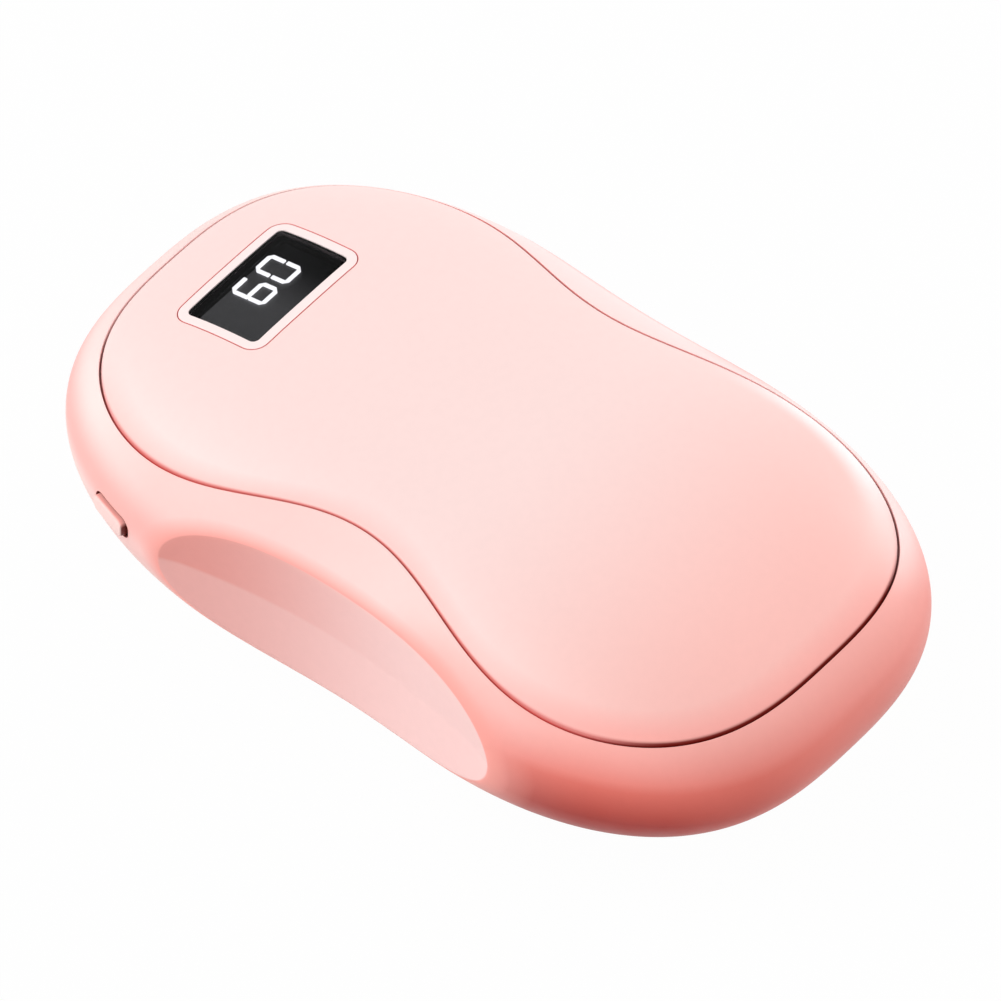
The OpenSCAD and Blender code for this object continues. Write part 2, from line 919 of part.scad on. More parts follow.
module battery_tray() {
    color("#e9e6df") from_middle()
        difference() {
            union() {
                intersection() {
                    box(
                        [2 * tray_half, tray_front - tray_back, tray_bottom - tray_rim],
                        0, tray_back, -tray_bottom
                    );
                    mirror([0, 0, 1]) crown_layer(pad_depth, half_thickness + overrun);
                }
                for (place = ears()) tray_ear(place);
            }
            for (x = [-cell_x, cell_x])
                translate([x, strip_front + bond_gap, 0]) rotate([90, 0, 0])
                    cylinder(r = cell_r + tray_gap, h = strip_front - cell_back + strip_t + 3 * bond_gap);
            for (place = ears())
                upright(hole_r, ear_t + 2 * overrun, place, ear_top - ear_t - overrun);
            box(
                [bead_length + 2 * loose_gap, 2 * bead_room, half_thickness],
                0, bead_y - bead_room, bead_depth + bead_room - half_thickness
            );
        }
}

module tray_screws() {
    color("silver") from_middle()
        for (place = ears())
            translate([place.x, place.y, ear_top + bond_gap])
                screw(floor_depth(place) + ear_top - screw_tip_gap);
}

// Cell along Y, with its raised contact towards +Y
module cell(x) {
    translate([x, cell_back, 0]) rotate([-90, 0, 0]) {
        cylinder(r = cell_r, h = cell_length - nub_t);
        cylinder(r = nub_r, h = cell_length);
    }
}

module cell_left() {
    color("#2f6fb0") from_middle() cell(-cell_x);
}

module cell_right() {
    color("#2f6fb0") from_middle() cell(cell_x);
}

// Strip across the ends of both cells, standing on the tray's rim
module contact_strip(from_y) {
    box([2 * cell_x + strip_width, strip_t, strip_width], 0, from_y, bond_gap - tray_rim);
}

module positive_strip() {
    color("silver") from_middle()
        contact_strip(cell_front + bond_gap);
}

module negative_strip() {
    color("silver") from_middle()
        contact_strip(cell_back - bond_gap - strip_t);
}

module protection_board() {
    color("#1f6b45") from_middle()
        box(
            [2 * protection_half, protection_t, protection_height],
            0, strip_front + bond_gap, bond_gap - tray_rim
        );
}

// Lead that curves from the protection board down to the main board
function lead_path(x) =
    let (
        a = [x, strip_front + bond_gap + protection_t + bond_gap, board_top + protection_height / 2],
        d = [x, board_back + board_length * 0.15, board_top + bond_gap],
        b = [x, d.y, a.z]
    )
    [for (i = [0:lead_steps]) let (t = i / lead_steps) mix(mix(a, b, t), mix(b, d, t), t)];

module lead(x) {
    path = lead_path(x);
    points = [
        for (i = [0:lead_steps], k = [0:lead_sides - 1])
        let (angle = 90 * i / lead_steps, turn = 360 * k / lead_sides)
        path[i] + lead_r * [cos(turn), sin(turn) * sin(angle), sin(turn) * cos(angle)]
    ];
    sides = [
        for (i = [0:lead_steps - 1], k = [0:lead_sides - 1])
        let (a = i * lead_sides, n = (k + 1) % lead_sides)
        each [[a + k, a + n, a + lead_sides + n], [a + k, a + lead_sides + n, a + lead_sides + k]]
    ];
    ends = [
        [for (k = [lead_sides - 1:-1:0]) k],
        [for (k = [0:lead_sides - 1]) lead_steps * lead_sides + k]
    ];
    polyhedron(points = points, faces = concat(sides, ends));
}

module red_lead() {
    color("firebrick") from_middle() lead(lead_x);
}

module black_lead() {
    color("#202020") from_middle() lead(-lead_x);
}

// Heating

// Column over a plate's rounded outline, inside the covers' hooks
module plate_column(width, length, radius) {
    linear_extrude(body_thickness)
        intersection() {
            translate([0, cell_back - strip_t + length / 2]) rounded(width, length, radius);
            polygon([for (i = [0:outline_count - 1]) seam_point(outline_angle(i), plate_inset)]);
        }
}

module heat_plate() {
    intersection() {
        crown_layer(plate_depth, plate_depth + plate_t);
        plate_column(plate_width, plate_length, tail_width);
    }
}

// Film with a tail that runs on to the front and folds towards the main board
module heater_film(side, reach) {
    tail_z = crown(socket_x, tail_y) - film_depth - film_t;
    intersection() {
        crown_layer(film_depth, film_depth + film_t);
        union() {
            plate_column(plate_width, plate_length, tail_width);
            box([tail_width, tail_y + film_t, body_thickness], side * socket_x, 0, 0);
        }
    }
    box([tail_width, film_t, tail_z - reach + film_t / 2], side * socket_x, tail_y, reach);
}

module insulating_pad(stop) {
    length = cell_length * 2 * pad_front_share;
    intersection() {
        crown_layer(pad_depth, half_thickness + overrun);
        box(
            [plate_width * pad_width_share, length, half_thickness],
            0, cell_back + (cell_length - length) / 2, stop
        );
    }
}

// Temperature bead, lying across under a heater film
module thermistor_bead() {
    translate([-bead_length / 2, bead_y, -bead_depth])
        rotate([0, 90, 0]) cylinder(r = bead_r, h = bead_length);
}

module upper_plate() {
    color("silver") from_middle() heat_plate();
}

module lower_plate() {
    color("silver") from_middle() mirror([0, 0, 1]) heat_plate();
}

module upper_heater() {
    color("#b5651d") from_middle() heater_film(-1, board_top + socket_h / 2);
}

module lower_heater() {
    color("#b5651d") from_middle() mirror([0, 0, 1]) heater_film(1, -board_top - socket_h);
}

module upper_pad() {
    color("#dddddd") from_middle() insulating_pad(cell_r + bond_gap);
}

module lower_pad() {
    color("#dddddd") from_middle() mirror([0, 0, 1]) insulating_pad(tray_bottom + bond_gap);
}

module upper_thermistor() {
    color("#2a2a2a") from_middle() thermistor_bead();
}

module lower_thermistor() {
    color("#2a2a2a") from_middle() mirror([0, 0, 1]) thermistor_bead();
}

top_cover();
mid_frame();
bottom_cover();
display_bezel();
display_window();
window_tape();
display_digits();
display_housing();
display_board();
display_screws();
header_pins();
header_spacer();
main_board();
board_screws();
board_chips();
board_capacitors();
power_inductor();
heater_sockets();
port_shell();
port_tongue();
switch_body();
switch_plunger();
power_button();
battery_tray();
tray_screws();
cell_left();
cell_right();
positive_strip();
negative_strip();
protection_board();
red_lead();
black_lead();
upper_plate();
lower_plate();
upper_heater();
lower_heater();
upper_pad();
lower_pad();
upper_thermistor();
lower_thermistor();
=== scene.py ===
"""Looks of a rechargeable hand warmer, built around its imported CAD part."""

import json
import math
from functools import partial, reduce
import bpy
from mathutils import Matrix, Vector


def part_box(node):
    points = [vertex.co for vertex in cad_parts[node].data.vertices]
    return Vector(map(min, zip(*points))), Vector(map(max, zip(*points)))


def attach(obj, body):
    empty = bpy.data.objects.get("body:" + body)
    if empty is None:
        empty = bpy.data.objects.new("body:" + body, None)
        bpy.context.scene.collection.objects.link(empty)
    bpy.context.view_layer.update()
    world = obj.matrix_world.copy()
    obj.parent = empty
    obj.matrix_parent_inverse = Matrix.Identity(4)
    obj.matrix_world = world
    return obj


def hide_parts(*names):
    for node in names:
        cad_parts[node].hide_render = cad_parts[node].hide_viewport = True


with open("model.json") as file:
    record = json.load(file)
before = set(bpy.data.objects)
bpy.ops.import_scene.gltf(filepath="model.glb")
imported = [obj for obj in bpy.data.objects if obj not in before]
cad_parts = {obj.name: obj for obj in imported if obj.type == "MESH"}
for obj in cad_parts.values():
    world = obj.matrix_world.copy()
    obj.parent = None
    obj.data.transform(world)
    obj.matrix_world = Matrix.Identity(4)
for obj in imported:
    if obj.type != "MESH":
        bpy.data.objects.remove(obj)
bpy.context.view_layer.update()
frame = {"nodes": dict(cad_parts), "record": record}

from types import SimpleNamespace

import bmesh
import bpy
import numpy as np
from bpy.props import FloatProperty, FloatVectorProperty, PointerProperty
from mathutils import Matrix, Vector

bl_info = {
    "name": "Rechargeable hand warmer",
    "version": (1, 0, 0),
    "blender": (4, 5, 0),
    "location": "3D View > Sidebar > Hand warmer",
    "description": "Builds the hand warmer's covers, side frame, display, button, port and studio",
    "category": "Add Mesh",
}

MM = 0.001
FULL_TURN = 2 * math.pi
QUARTER = math.pi / 2
DOUBLES = 0.001 * MM


# Settings

def length(name, description, default, low=0.0, high=0.2):
    """A size in metres."""
    return FloatProperty(
        name=name, description=description, default=default, min=low, max=high, unit="LENGTH", precision=5
    )


def place(name, description, default):
    """A place along an axis, in metres, on either side of the middle."""
    return length(name, description, default, low=-0.1, high=0.1)


def ratio(name, description, default, low=-10.0, high=10.0):
    """A number without a unit."""
    return FloatProperty(name=name, description=description, default=default, min=low, max=high, precision=4)


def colour(name, description, default):
    """A colour, as the shader reads it."""
    return FloatVectorProperty(
        name=name, description=description, default=default, size=3, min=0, max=1, subtype="COLOR"
    )


class WarmerBody(bpy.types.PropertyGroup):
    """The pebble: its outline, its crowned faces and its grip scoops."""

    body_length: length("Body length", "Overall length along Y", 108 * MM)
    body_width: length("Body width", "Width of the outline before its flanks draw in", 66.4 * MM)
    body_thickness: length("Body thickness", "Thickness before the resting face is cut flat", 33 * MM)
    rest_depth: length("Rest depth", "Depth of the flat that it rests on", 0.4 * MM)
    rest_softness: length("Rest softness", "Width over which the flat runs into the crown", 0.3 * MM)
    wall: length("Wall", "Thickness of the side wall", 2.2 * MM)
    waist_share: ratio("Waist share", "Share of the half width lost at the waist", 0.056)
    waist_y: place("Waist place", "Place of the waist along Y", -0.9 * MM)
    waist_reach: length("Waist reach", "Reach of the waist along Y", 18.8 * MM)
    body_taper: ratio("Body taper", "Share by which the body widens towards one end", -0.008)
    body_power: ratio("Body power", "Roundness of the outline, as an exponent", 2.81)
    crown_power: ratio("Crown power", "How late the face starts to fall, as an exponent", 3.37)
    edge_power: ratio("Edge power", "Roundness of the crown's edge, as an exponent", 2.04)
    scoop_depth: length("Scoop depth", "Depth of a grip scoop below the flank", 3.3 * MM)
    scoop_y: place("Scoop place", "Place of a scoop's deepest point along Y", 0.8 * MM)
    scoop_radius: length("Scoop radius", "Radius of the upright cylinder behind a scoop", 94.1 * MM, high=0.5)
    scoop_fold: length("Scoop fold", "How far a scoop's face folds inwards at mid height", 0.55 * MM)
    scoop_soft_front: length("Front scoop edge", "Softness of a scoop's edge by the display", 0.9 * MM)
    scoop_soft_rear: length("Rear scoop edge", "Softness of a scoop's edge at the other end", 0.3 * MM)


class WarmerSeam(bpy.types.PropertyGroup):
    """The groove round a cover and the ledge behind it."""

    seam_end: length("Seam end", "Distance from the body's end to the seam", 4.55 * MM)
    seam_side: length("Seam side", "Distance from the flank to the seam", 2.8 * MM)
    seam_waist_share: ratio("Seam waist share", "Share of the half width lost at the seam's waist", 0.278)
    seam_waist_y: place("Seam waist place", "Place of the seam's waist along Y", 1.6 * MM)
    seam_waist_reach: length("Seam waist reach", "Reach of the seam's waist along Y", 19.9 * MM)
    seam_taper: ratio("Seam taper", "Share by which the seam widens towards one end", -0.022)
    seam_power: ratio("Seam power", "Roundness of the seam, as an exponent", 2.914)
    seam_gap: length("Seam gap", "Width of the groove", 0.25 * MM)
    seam_edge: length("Seam edge", "Rounding of the frame's edge at the groove", 0.16 * MM)
    cover_edge: length("Cover edge", "Rounding of a cover's edge at the groove", 0.42 * MM)
    cover_thickness: length("Cover thickness", "Thickness of a cover", 1.8 * MM)
    cover_play: length("Cover play", "Gap between a cover and its ledge", 0.1 * MM)
    ledge_width: length("Ledge width", "Width of the ledge that carries a cover", 2 * MM)
    ledge_thickness: length("Ledge thickness", "Thickness of that ledge", 1.6 * MM)


class WarmerDisplay(bpy.types.PropertyGroup):
    """The window in the top cover and the bezel round it."""

    window_width: length("Window width", "Width of the window along X", 17.2 * MM)
    window_height: length("Window height", "Height of the window along Y", 10.5 * MM)
    window_end: length("Window place", "Distance from the body's front end to its centre", 19.5 * MM)
    window_corner: length("Window corner", "Corner radius of the window", 0.8 * MM)
    window_thickness: length("Window thickness", "Thickness of the window", 1 * MM)
    window_drop: length("Window drop", "Depth of the window below the bezel", 0.1 * MM)
    window_edge: length("Window edge", "Rounding of the window's edge", 0.08 * MM)
    bezel_border: length("Bezel border", "Border of the bezel round the window", 1.3 * MM)
    bezel_depth: length("Bezel depth", "Depth of the bezel", 2.6 * MM)
    bezel_edge: length("Bezel edge", "Rounding of the bezel's edges", 0.07 * MM)
    bezel_line: length("Bezel line", "Width of the fine groove round the bezel", 0.07 * MM)
    flange_width: length("Flange width", "Width of the flange behind the cover", 1 * MM)
    lip_width: length("Lip width", "Width of the lip that carries the window", 0.6 * MM)
    fit: length("Fit", "Clearance between bonded pieces", 0.05 * MM)


class WarmerButton(bpy.types.PropertyGroup):
    """The side button and the charging port's mouth."""

    button_length: length("Button length", "Length along the flank", 6.2 * MM)
    button_height: length("Button height", "Height of the button", 2.5 * MM)
    button_corner: length("Button corner", "Corner radius of the button", 1 * MM)
    button_proud: length("Button proud", "How far the button stands out", 0.6 * MM)
    button_end: length("Button place", "Distance from the body's front end to its middle", 20.1 * MM)
    button_gap: length("Button gap", "Clearance round the button", 0.16 * MM)
    button_slack: length("Button slack", "Further clearance at the button's end by the scoop", 0.14 * MM)
    button_edge: length("Button edge", "Rounding of the button's edge", 0.36 * MM)
    button_dome: length("Button dome", "How far the button's face is domed", 0.1 * MM)
    mouth_edge: length("Mouth edge", "Rounding of the openings in the flank", 0.16 * MM)
    port_gap: length("Port gap", "Clearance round the port's shell", 0.15 * MM)
    port_corner: length("Port corner", "Corner radius of the port's shell", 1.1 * MM)
    contact_width: length("Contact width", "Width of one contact in the port", 0.26 * MM)
    contact_length: length("Contact length", "Length of one contact in the port", 1.7 * MM)
    contact_pitch: length("Contact pitch", "Distance between two contacts", 0.5 * MM)


class WarmerFinish(bpy.types.PropertyGroup):
    """Colours of what shows, many of them painted shade and painted highlights, and the level of the studio
    light.
    """

    cover_pale: colour("Cover, pale", "The cover by the display", (0.97, 0.73, 0.7))
    # Painted shade: the cover's far end, where the light falls off, is painted warmer and darker
    cover_end_shade: colour("Cover, warm", "The cover at the far end from the display", (1.0, 0.515, 0.465))
    # Painted shade where the cover's rim curves down at the far end
    cover_rim_shade: colour("Cover, rim", "The cover's rim at the far end from the display", (1.0, 0.44, 0.395))
    frame_pale: colour("Frame, pale", "Top of the side frame by the display", (0.97, 0.735, 0.7))
    # Painted shade: a coral band round the side frame's middle by the display
    frame_band_shade: colour("Frame, coral", "The band round the side frame by the display", (0.97, 0.475, 0.437))
    # Painted shade at the side frame's far end, where the light falls off: warm at its top, deeper at its
    # middle
    frame_end_shade: colour("Frame, warm", "Top of the side frame at the far end", (0.97, 0.43, 0.385))
    frame_end_deep_shade: colour("Frame, deep", "Middle of the side frame at the far end", (0.82, 0.19, 0.15))
    # Painted shade along the frame's top from the display to a scoop
    frame_ring_shade: colour("Frame, ring", "Top of the frame from the display to a scoop", (0.97, 0.61, 0.575))
    # Painted highlight on the frame's top along the flank away from the button
    frame_far_highlight: colour("Frame, far", "Top of the side frame away from the button", (0.98, 0.775, 0.755))
    # Painted shade at the foot of the side frame's far end
    frame_foot_shade: colour("Frame, foot", "Foot of the side frame", (0.38, 0.02, 0.01))
    # Painted light and shade in a scoop, over its real fold: lit at its far end, shaded by the display, less
    # shaded below its crease
    scoop_lit: colour("Scoop, pale", "The lighter end of a grip scoop", (0.97, 0.64, 0.615))
    scoop_shaded: colour("Scoop, warm", "The darker end of a grip scoop", (0.78, 0.305, 0.27))
    scoop_shaded_low: colour("Scoop, shaded low", "The darker end of a grip scoop below its crease", (0.8, 0.4, 0.37))
    # Painted shade along a scoop's edge
    scoop_rim_shade: colour("Scoop, rim", "The frame along the edge of a grip scoop", (0.97, 0.38, 0.33))
    bezel_pale: colour("Bezel", "The thin frame round the window", (0.98, 0.83, 0.81))
    # Painted shade in the seam's groove and on a cover's edge beside it: coral by the display, dark at the
    # far end
    groove_shade_red: colour("Groove", "The inside of the seam by the display", (0.92, 0.2, 0.18))
    groove_shade_dark: colour("Groove, dark", "The inside of the seam at the far end", (0.3, 0.012, 0.008))
    seam_shade_red: colour("Seam line", "A cover's edge at the seam by the display", (0.78, 0.24, 0.22))
    seam_shade_dark: colour("Seam line, dark", "A cover's edge at the seam at the far end", (0.22, 0.014, 0.009))
    # Painted shade on the cover's rim along the button's side
    cover_edge: colour("Cover, edge", "The cover's rim along the button's side", (0.97, 0.56, 0.52))
    button_pale: colour("Button", "The side button", (0.97, 0.68, 0.64))
    # Painted shade on the button's wall, where its gap shades it
    button_wall_shade: colour("Button, wall", "The side button's wall", (0.88, 0.38, 0.34))
    # Painted shade: near-black inside the openings and on the button's end by the scoop
    opening_shade_dark: colour("Opening", "The inside of the button's and port's openings", (0.13, 0.016, 0.012))
    # Painted highlight along the cover's rim at its corner far from the button
    cover_highlight: colour("Cover, glow", "The cover's rim at its corner far from the button", (0.98, 0.93, 0.92))
    # The paler tone to which the seam's painted shade fades
    seam_shade_faint: colour("Seam, faint", "The seam where it is faint", (1.0, 0.72, 0.7))
    # Painted shade inside the fine groove round the bezel and on the cover's cut wall beside it
    line_shade: colour("Bezel line", "The inside of the fine groove round the bezel", (0.8, 0.25, 0.24))
    digit_light: colour("Digits", "Light of the digits", (1.0, 1.0, 1.0))
    digit_strength: ratio("Digit strength", "Strength of the digits' light", 4.9, low=0.0, high=20.0)
    # Painted reflection: the mask glows towards its side by the button, where the window would mirror the
    # studio, and about the digits
    reflection_haze_strength: ratio("Haze", "Strength of the display's own faint glow", 0.26, low=0.0, high=2.0)
    key_power: ratio("Key light", "Power of the large soft lamp by the display, in watts", 2.8, low=0.0)
    fill_power: ratio("Fill light", "Power of the soft lamp on the far side, in watts", 3.5, low=0.0)
    front_power: ratio("Front light", "Power of the soft lamp by the button's side, in watts", 1.4, low=0.0)
    rim_power: ratio("Rim light", "Power of the low lamp past the display, in watts", 1.2, low=0.0)
    world_strength: ratio("World", "Strength of the plain surrounding light", 0.56, low=0.0)


# Nodes, of Geometry Nodes and of materials

def feed(socket, value):
    """Sets a socket to a plain value, or links a field or another socket to it."""
    source = getattr(value, "socket", value)
    if isinstance(source, bpy.types.NodeSocket):
        socket.id_data.links.new(source, socket)
    else:
        socket.default_value = source


def added(tree, kind, inputs=None, **options):
    """Adds a node, sets its options and feeds its inputs, by name or number."""
    node = tree.nodes.new(kind)
    for key, value in options.items():
        setattr(node, key, value)
    for key, value in (inputs or {}).items():
        feed(node.inputs[key], value)
    return node


def combined(tree, *values):
    """A vector's socket, from up to three numbers or fields."""
    return added(tree, "ShaderNodeCombineXYZ", dict(enumerate(values))).outputs[0]


# Arithmetic that works on numbers and on the fields of Geometry Nodes

def maths(operation, *values):
    """A Math node fed with numbers and fields."""
    tree = next(v.socket.id_data for v in values if isinstance(v, Field))
    return Field(added(tree, "ShaderNodeMath", dict(enumerate(values)), operation=operation).outputs[0])


def forward(operation):
    return lambda self, other: maths(operation, self, other)


def backward(operation):
    return lambda self, other: maths(operation, other, self)


class Field:
    """A value that Geometry Nodes work out at each vertex, written as ordinary arithmetic."""

    def __init__(self, socket):
        self.socket = socket

    __add__ = __radd__ = forward("ADD")
    __mul__ = __rmul__ = forward("MULTIPLY")
    __sub__, __rsub__ = forward("SUBTRACT"), backward("SUBTRACT")
    __truediv__, __rtruediv__ = forward("DIVIDE"), backward("DIVIDE")
    __pow__ = forward("POWER")

    def __neg__(self):
        return self * -1

    def __abs__(self):
        return maths("ABSOLUTE", self)


def either(operation, plain):
    """A function that uses numpy on numbers and a Math node on fields."""
    def work(*values):
        fields = any(isinstance(v, Field) for v in values)
        return maths(operation, *values) if fields else plain(*values)
    return work


exponent = either("EXPONENT", np.exp)
highest = either("MAXIMUM", np.maximum)
sine, cosine, lowest, soft_lowest, soft_highest, sign_of, below = (
    partial(maths, operation)
    for operation in ("SINE", "COSINE", "MINIMUM", "SMOOTH_MIN", "SMOOTH_MAX", "SIGN", "LESS_THAN")
)


def mix(a, b, share):
    return a + (b - a) * share


def clamped(value):
    return lowest(highest(value, 0.0), 1.0)


def zones(v, counts):
    """Splits 0 to 1 into zones of so many rows each. Each value runs from 0 to 1 over its own zone."""
    total, start, found = sum(counts), 0, []
    for count in counts:
        found.append(clamped((v * total - start) / count))
        start += count
    return found


# The pebble's own shape. These follow the same rules as the CAD part

def waisted(s, y, taper, share, middle, reach):
    """The share of its width that an outline has at y, by its taper and its waist."""
    step = (y - middle) / reach
    return (1 + taper * y / (s.body_length / 2)) * (1 - share * exponent(-(step * step)))


def body_share(s, y):
    return waisted(s, y, s.body_taper, s.waist_share, s.waist_y, s.waist_reach)


def seam_share(s, y):
    return waisted(s, y, s.seam_taper, s.seam_waist_share, s.seam_waist_y, s.seam_waist_reach)


def flank(s, y):
    """Half width of the body at y, before its ends close."""
    return s.body_width / 2 * body_share(s, y)


def level(s, x, y):
    """Share of the way from the centre to the body's outline, seen from above."""
    across = (abs(x) / flank(s, y)) ** s.body_power
    along = (abs(y) / (s.body_length / 2)) ** s.body_power
    return (across + along) ** (1 / s.body_power)


def crown(s, x, y):
    """Height of the crowned face above the middle plane."""
    return s.body_thickness / 2 * highest(1 - level(s, x, y) ** s.crown_power, 0.0) ** (1 / s.edge_power)


def outline_level(s, z):
    """The outline's level to its own power, where the outer face is at a height over the middle plane."""
    return (1 - (abs(z) / (s.body_thickness / 2)) ** s.edge_power) ** (s.body_power / s.crown_power)


def side_x(s, y, z):
    """Half width of the body's outer face at y and at a height over the middle plane."""
    across = outline_level(s, z) - (abs(y) / (s.body_length / 2)) ** s.body_power
    return flank(s, y) * across ** (1 / s.body_power)


def end_y(s, x, z):
    """Distance from the middle to the body's front end at x and at a height over the middle plane."""
    y = s.body_length / 2
    for _ in range(4):
        along = outline_level(s, z) - (abs(x) / flank(s, y)) ** s.body_power
        y = s.body_length / 2 * along ** (1 / s.body_power)
    return y


def round_point(angle, half_x, half_y, power):
    c, n = cosine(angle), sine(angle)
    radius = ((abs(c) / half_x) ** power + (abs(n) / half_y) ** power) ** (-1 / power)
    return radius * c, radius * n


def body_point(s, angle, inset=0.0):
    x, y = round_point(angle, s.body_width / 2 - inset, s.body_length / 2 - inset, s.body_power)
    return x * body_share(s, y), y


def seam_point(s, angle, inset=0.0):
    half_x, half_y = s.body_width / 2 - s.seam_side, s.body_length / 2 - s.seam_end
    x, y = round_point(angle, half_x - inset, half_y - inset, s.seam_power)
    return x * seam_share(s, y), y


def scoop_x(s, y):
    """Distance from the centre line to a scoop's face."""
    inner = flank(s, s.scoop_y) - s.scoop_depth
    step = y - s.scoop_y
    return inner + s.scoop_radius - (s.scoop_radius * s.scoop_radius - step * step) ** 0.5


def middle(s):
    """Height of the middle plane above the resting face."""
    return s.body_thickness / 2 - s.rest_depth


# Rows of a cover: its face, its rounded edge, its side and its back
COVER_ROWS = (64, 5, 3, 12)
# Rows of the frame: its inner wall, its lip, its ledge, the groove, its rounded edge and its outer skin
FRAME_ROWS = (6, 1, 2, 3, 5, 58)
# From and to which row the groove's own finish runs
COVER_GROOVE = (sum(COVER_ROWS[:2]) + 0.5, sum(COVER_ROWS[:3]) + 0.5)
FRAME_GROOVE = (sum(FRAME_ROWS[:2]), sum(FRAME_ROWS[:4]) + 1.5)
COVER_COLUMNS, FRAME_COLUMNS = 432, 600
ROW_EASE = 1.35
FOLD_FADE = 5 * MM
SCOOP_SPAN = 50 * MM


def cover_surface(s, angle, v):
    """A cover as one closed skin: crowned face, rounded rim, side and back.
    The last value is the way in from its side."""
    face, edge, side, back = zones(v, COVER_ROWS)
    inset = s.seam_gap + s.cover_edge * (1 - sine(edge * QUARTER))
    depth = s.cover_edge * (1 - cosine(edge * QUARTER)) + (s.cover_thickness - s.cover_edge) * side
    share = 1 - (1 - face) ** ROW_EASE - back
    x, y = seam_point(s, angle, inset)
    rim = (1 - share) * (x * x + y * y) ** 0.5 + s.cover_edge * (1 - edge)
    x, y = x * share, y * share
    height = middle(s) + s.side * (crown(s, x, y) - depth)
    return x, y, soft_highest(height, 0.0, s.rest_softness), rim


def frame_surface(s, angle, v):
    """The side frame as one closed ring, from its inner wall to its skin.
    The last value is the reach into a scoop."""
    half = 1 - abs(1 - v * 2)
    inner, lip, ledge, groove, edge, outer = zones(half, FRAME_ROWS)
    seat = s.cover_thickness + s.cover_play
    near = seam_point(s, angle, s.ledge_width)
    seam = seam_point(s, angle)
    rim = seam_point(s, angle, -s.seam_edge * (1 - cosine(edge * QUARTER)))
    start = seam_point(s, angle, -s.seam_edge)
    end = body_point(s, angle)
    cavity_x, cavity_y = body_point(s, angle, s.wall)
    cavity_x = sign_of(cavity_x) * lowest(abs(cavity_x), scoop_x(s, cavity_y) - s.wall)
    under_z = crown(s, *near) - seat - s.ledge_thickness
    x, y = (
        mix(n, c, cosine(inner * QUARTER)) + (m - n) * ledge + (r - m) + (e - b) * sine(outer * QUARTER)
        for n, c, m, r, b, e in zip(near, (cavity_x, cavity_y), seam, rim, start, end)
    )
    depth = seat - (seat - s.seam_edge) * groove - s.seam_edge * sine(edge * QUARTER)
    raised = crown(s, x, y) - depth
    inside = under_z * sine(inner * QUARTER) + s.ledge_thickness * lip
    is_inside = below(half * sum(FRAME_ROWS), sum(FRAME_ROWS[:2]) + 0.5)
    height = mix(raised, inside, is_inside)
    face = scoop_x(s, y)
    arch = crown(s, face, y)
    folded = clamped(1 - abs(height) / highest(arch, MM)) * clamped(arch / FOLD_FADE)
    softness = mix(s.scoop_soft_rear, s.scoop_soft_front, clamped(y / SCOOP_SPAN + 0.5))
    reach = abs(x) - face
    x = sign_of(x) * soft_lowest(abs(x), face - s.scoop_fold * folded, softness)
    return x, y, middle(s) + sign_of(0.5 - v) * height, reach


# Geometry Nodes

def named_inputs(tree, groups, extra=()):
    """Gives a tree one named input for each setting. Returns them as fields, and their values by name."""
    wanted = [
        (key, value.keywords["name"], getattr(group, key))
        for group in groups for key, value in type(group).__annotations__.items()
    ]
    wanted += extra
    for key, name, value in wanted:
        socket = tree.interface.new_socket(name=name, in_out="INPUT", socket_type="NodeSocketFloat")
        socket.default_value = value
    node = tree.nodes.new("NodeGroupInput")
    fields = {key: Field(node.outputs[name]) for key, name, _ in wanted}
    return SimpleNamespace(**fields), {name: value for _, name, value in wanted}


def finish_inputs(tree, *names):
    """Adds material inputs to a tree and returns their sockets."""
    for name in names:
        tree.interface.new_socket(name=name, in_out="INPUT", socket_type="NodeSocketMaterial")
    node = tree.nodes.new("NodeGroupInput")
    return [node.outputs[name] for name in names]


def chained(geometry, kind, inputs=None):
    """Adds a geometry node behind a socket, feeds its other inputs and returns its output."""
    node = added(geometry.id_data, kind, inputs)
    feed(node.inputs[0], geometry)
    return node.outputs[0]


def ended(geometry, finish, marks=()):
    """Closes a tree with Realize Instances and Set Material, and marks faces with further finishes."""
    tree = geometry.id_data
    tree.interface.new_socket(name="Geometry", in_out="OUTPUT", socket_type="NodeSocketGeometry")
    geometry = chained(geometry, "GeometryNodeRealizeInstances")
    geometry = chained(geometry, "GeometryNodeSetMaterial", {"Material": finish})
    for selection, other in marks:
        geometry = chained(geometry, "GeometryNodeSetMaterial", {"Selection": selection, "Material": other})
    feed(tree.nodes.new("NodeGroupOutput").inputs[0], geometry)


def skin_tree(name, surface, mark, columns, rows, groove, mirrored=False, extra=()):
    """A closed skin that follows a rule: a grid whose vertices the rule sets at their own angle and row.
    The rule's last value is kept on the mesh as an attribute. A mirrored skin runs down its rows and back."""
    w = settings()
    tree = bpy.data.node_groups.new(name, "GeometryNodeTree")
    sizes, values = named_inputs(tree, (w.body, w.seam), extra)
    finish, dark = finish_inputs(tree, "Finish", "Groove finish")
    total = sum(rows)
    steps = 2 * total if mirrored else total
    grid = added(tree, "GeometryNodeMeshGrid", {"Vertices X": columns + 1, "Vertices Y": steps + 1})
    split = added(tree, "ShaderNodeSeparateXYZ", {0: grid.outputs["UV Map"]})
    u, v = (Field(split.outputs[i]) for i in (0, 1))
    *spot, measure = surface(sizes, u * FULL_TURN, v)
    skin = chained(grid.outputs["Mesh"], "GeometryNodeSetPosition", {"Position": combined(tree, *spot)})
    skin = chained(skin, "GeometryNodeStoreNamedAttribute", {"Name": mark, "Value": measure})
    skin = chained(skin, "GeometryNodeMergeByDistance", {"Distance": DOUBLES})
    skin = chained(skin, "GeometryNodeSetShadeSmooth")
    row = 1 - abs(1 - v * 2) if mirrored else v
    marked = below(groove[0] / total, row) * below(row, groove[1] / total)
    ended(skin, finish, [(marked, dark)])
    return tree, values


# Mesh helpers

def new_object(name, data=None):
    piece = bpy.data.objects.new(name, data or bpy.data.meshes.new(name))
    bpy.context.scene.collection.objects.link(piece)
    return piece


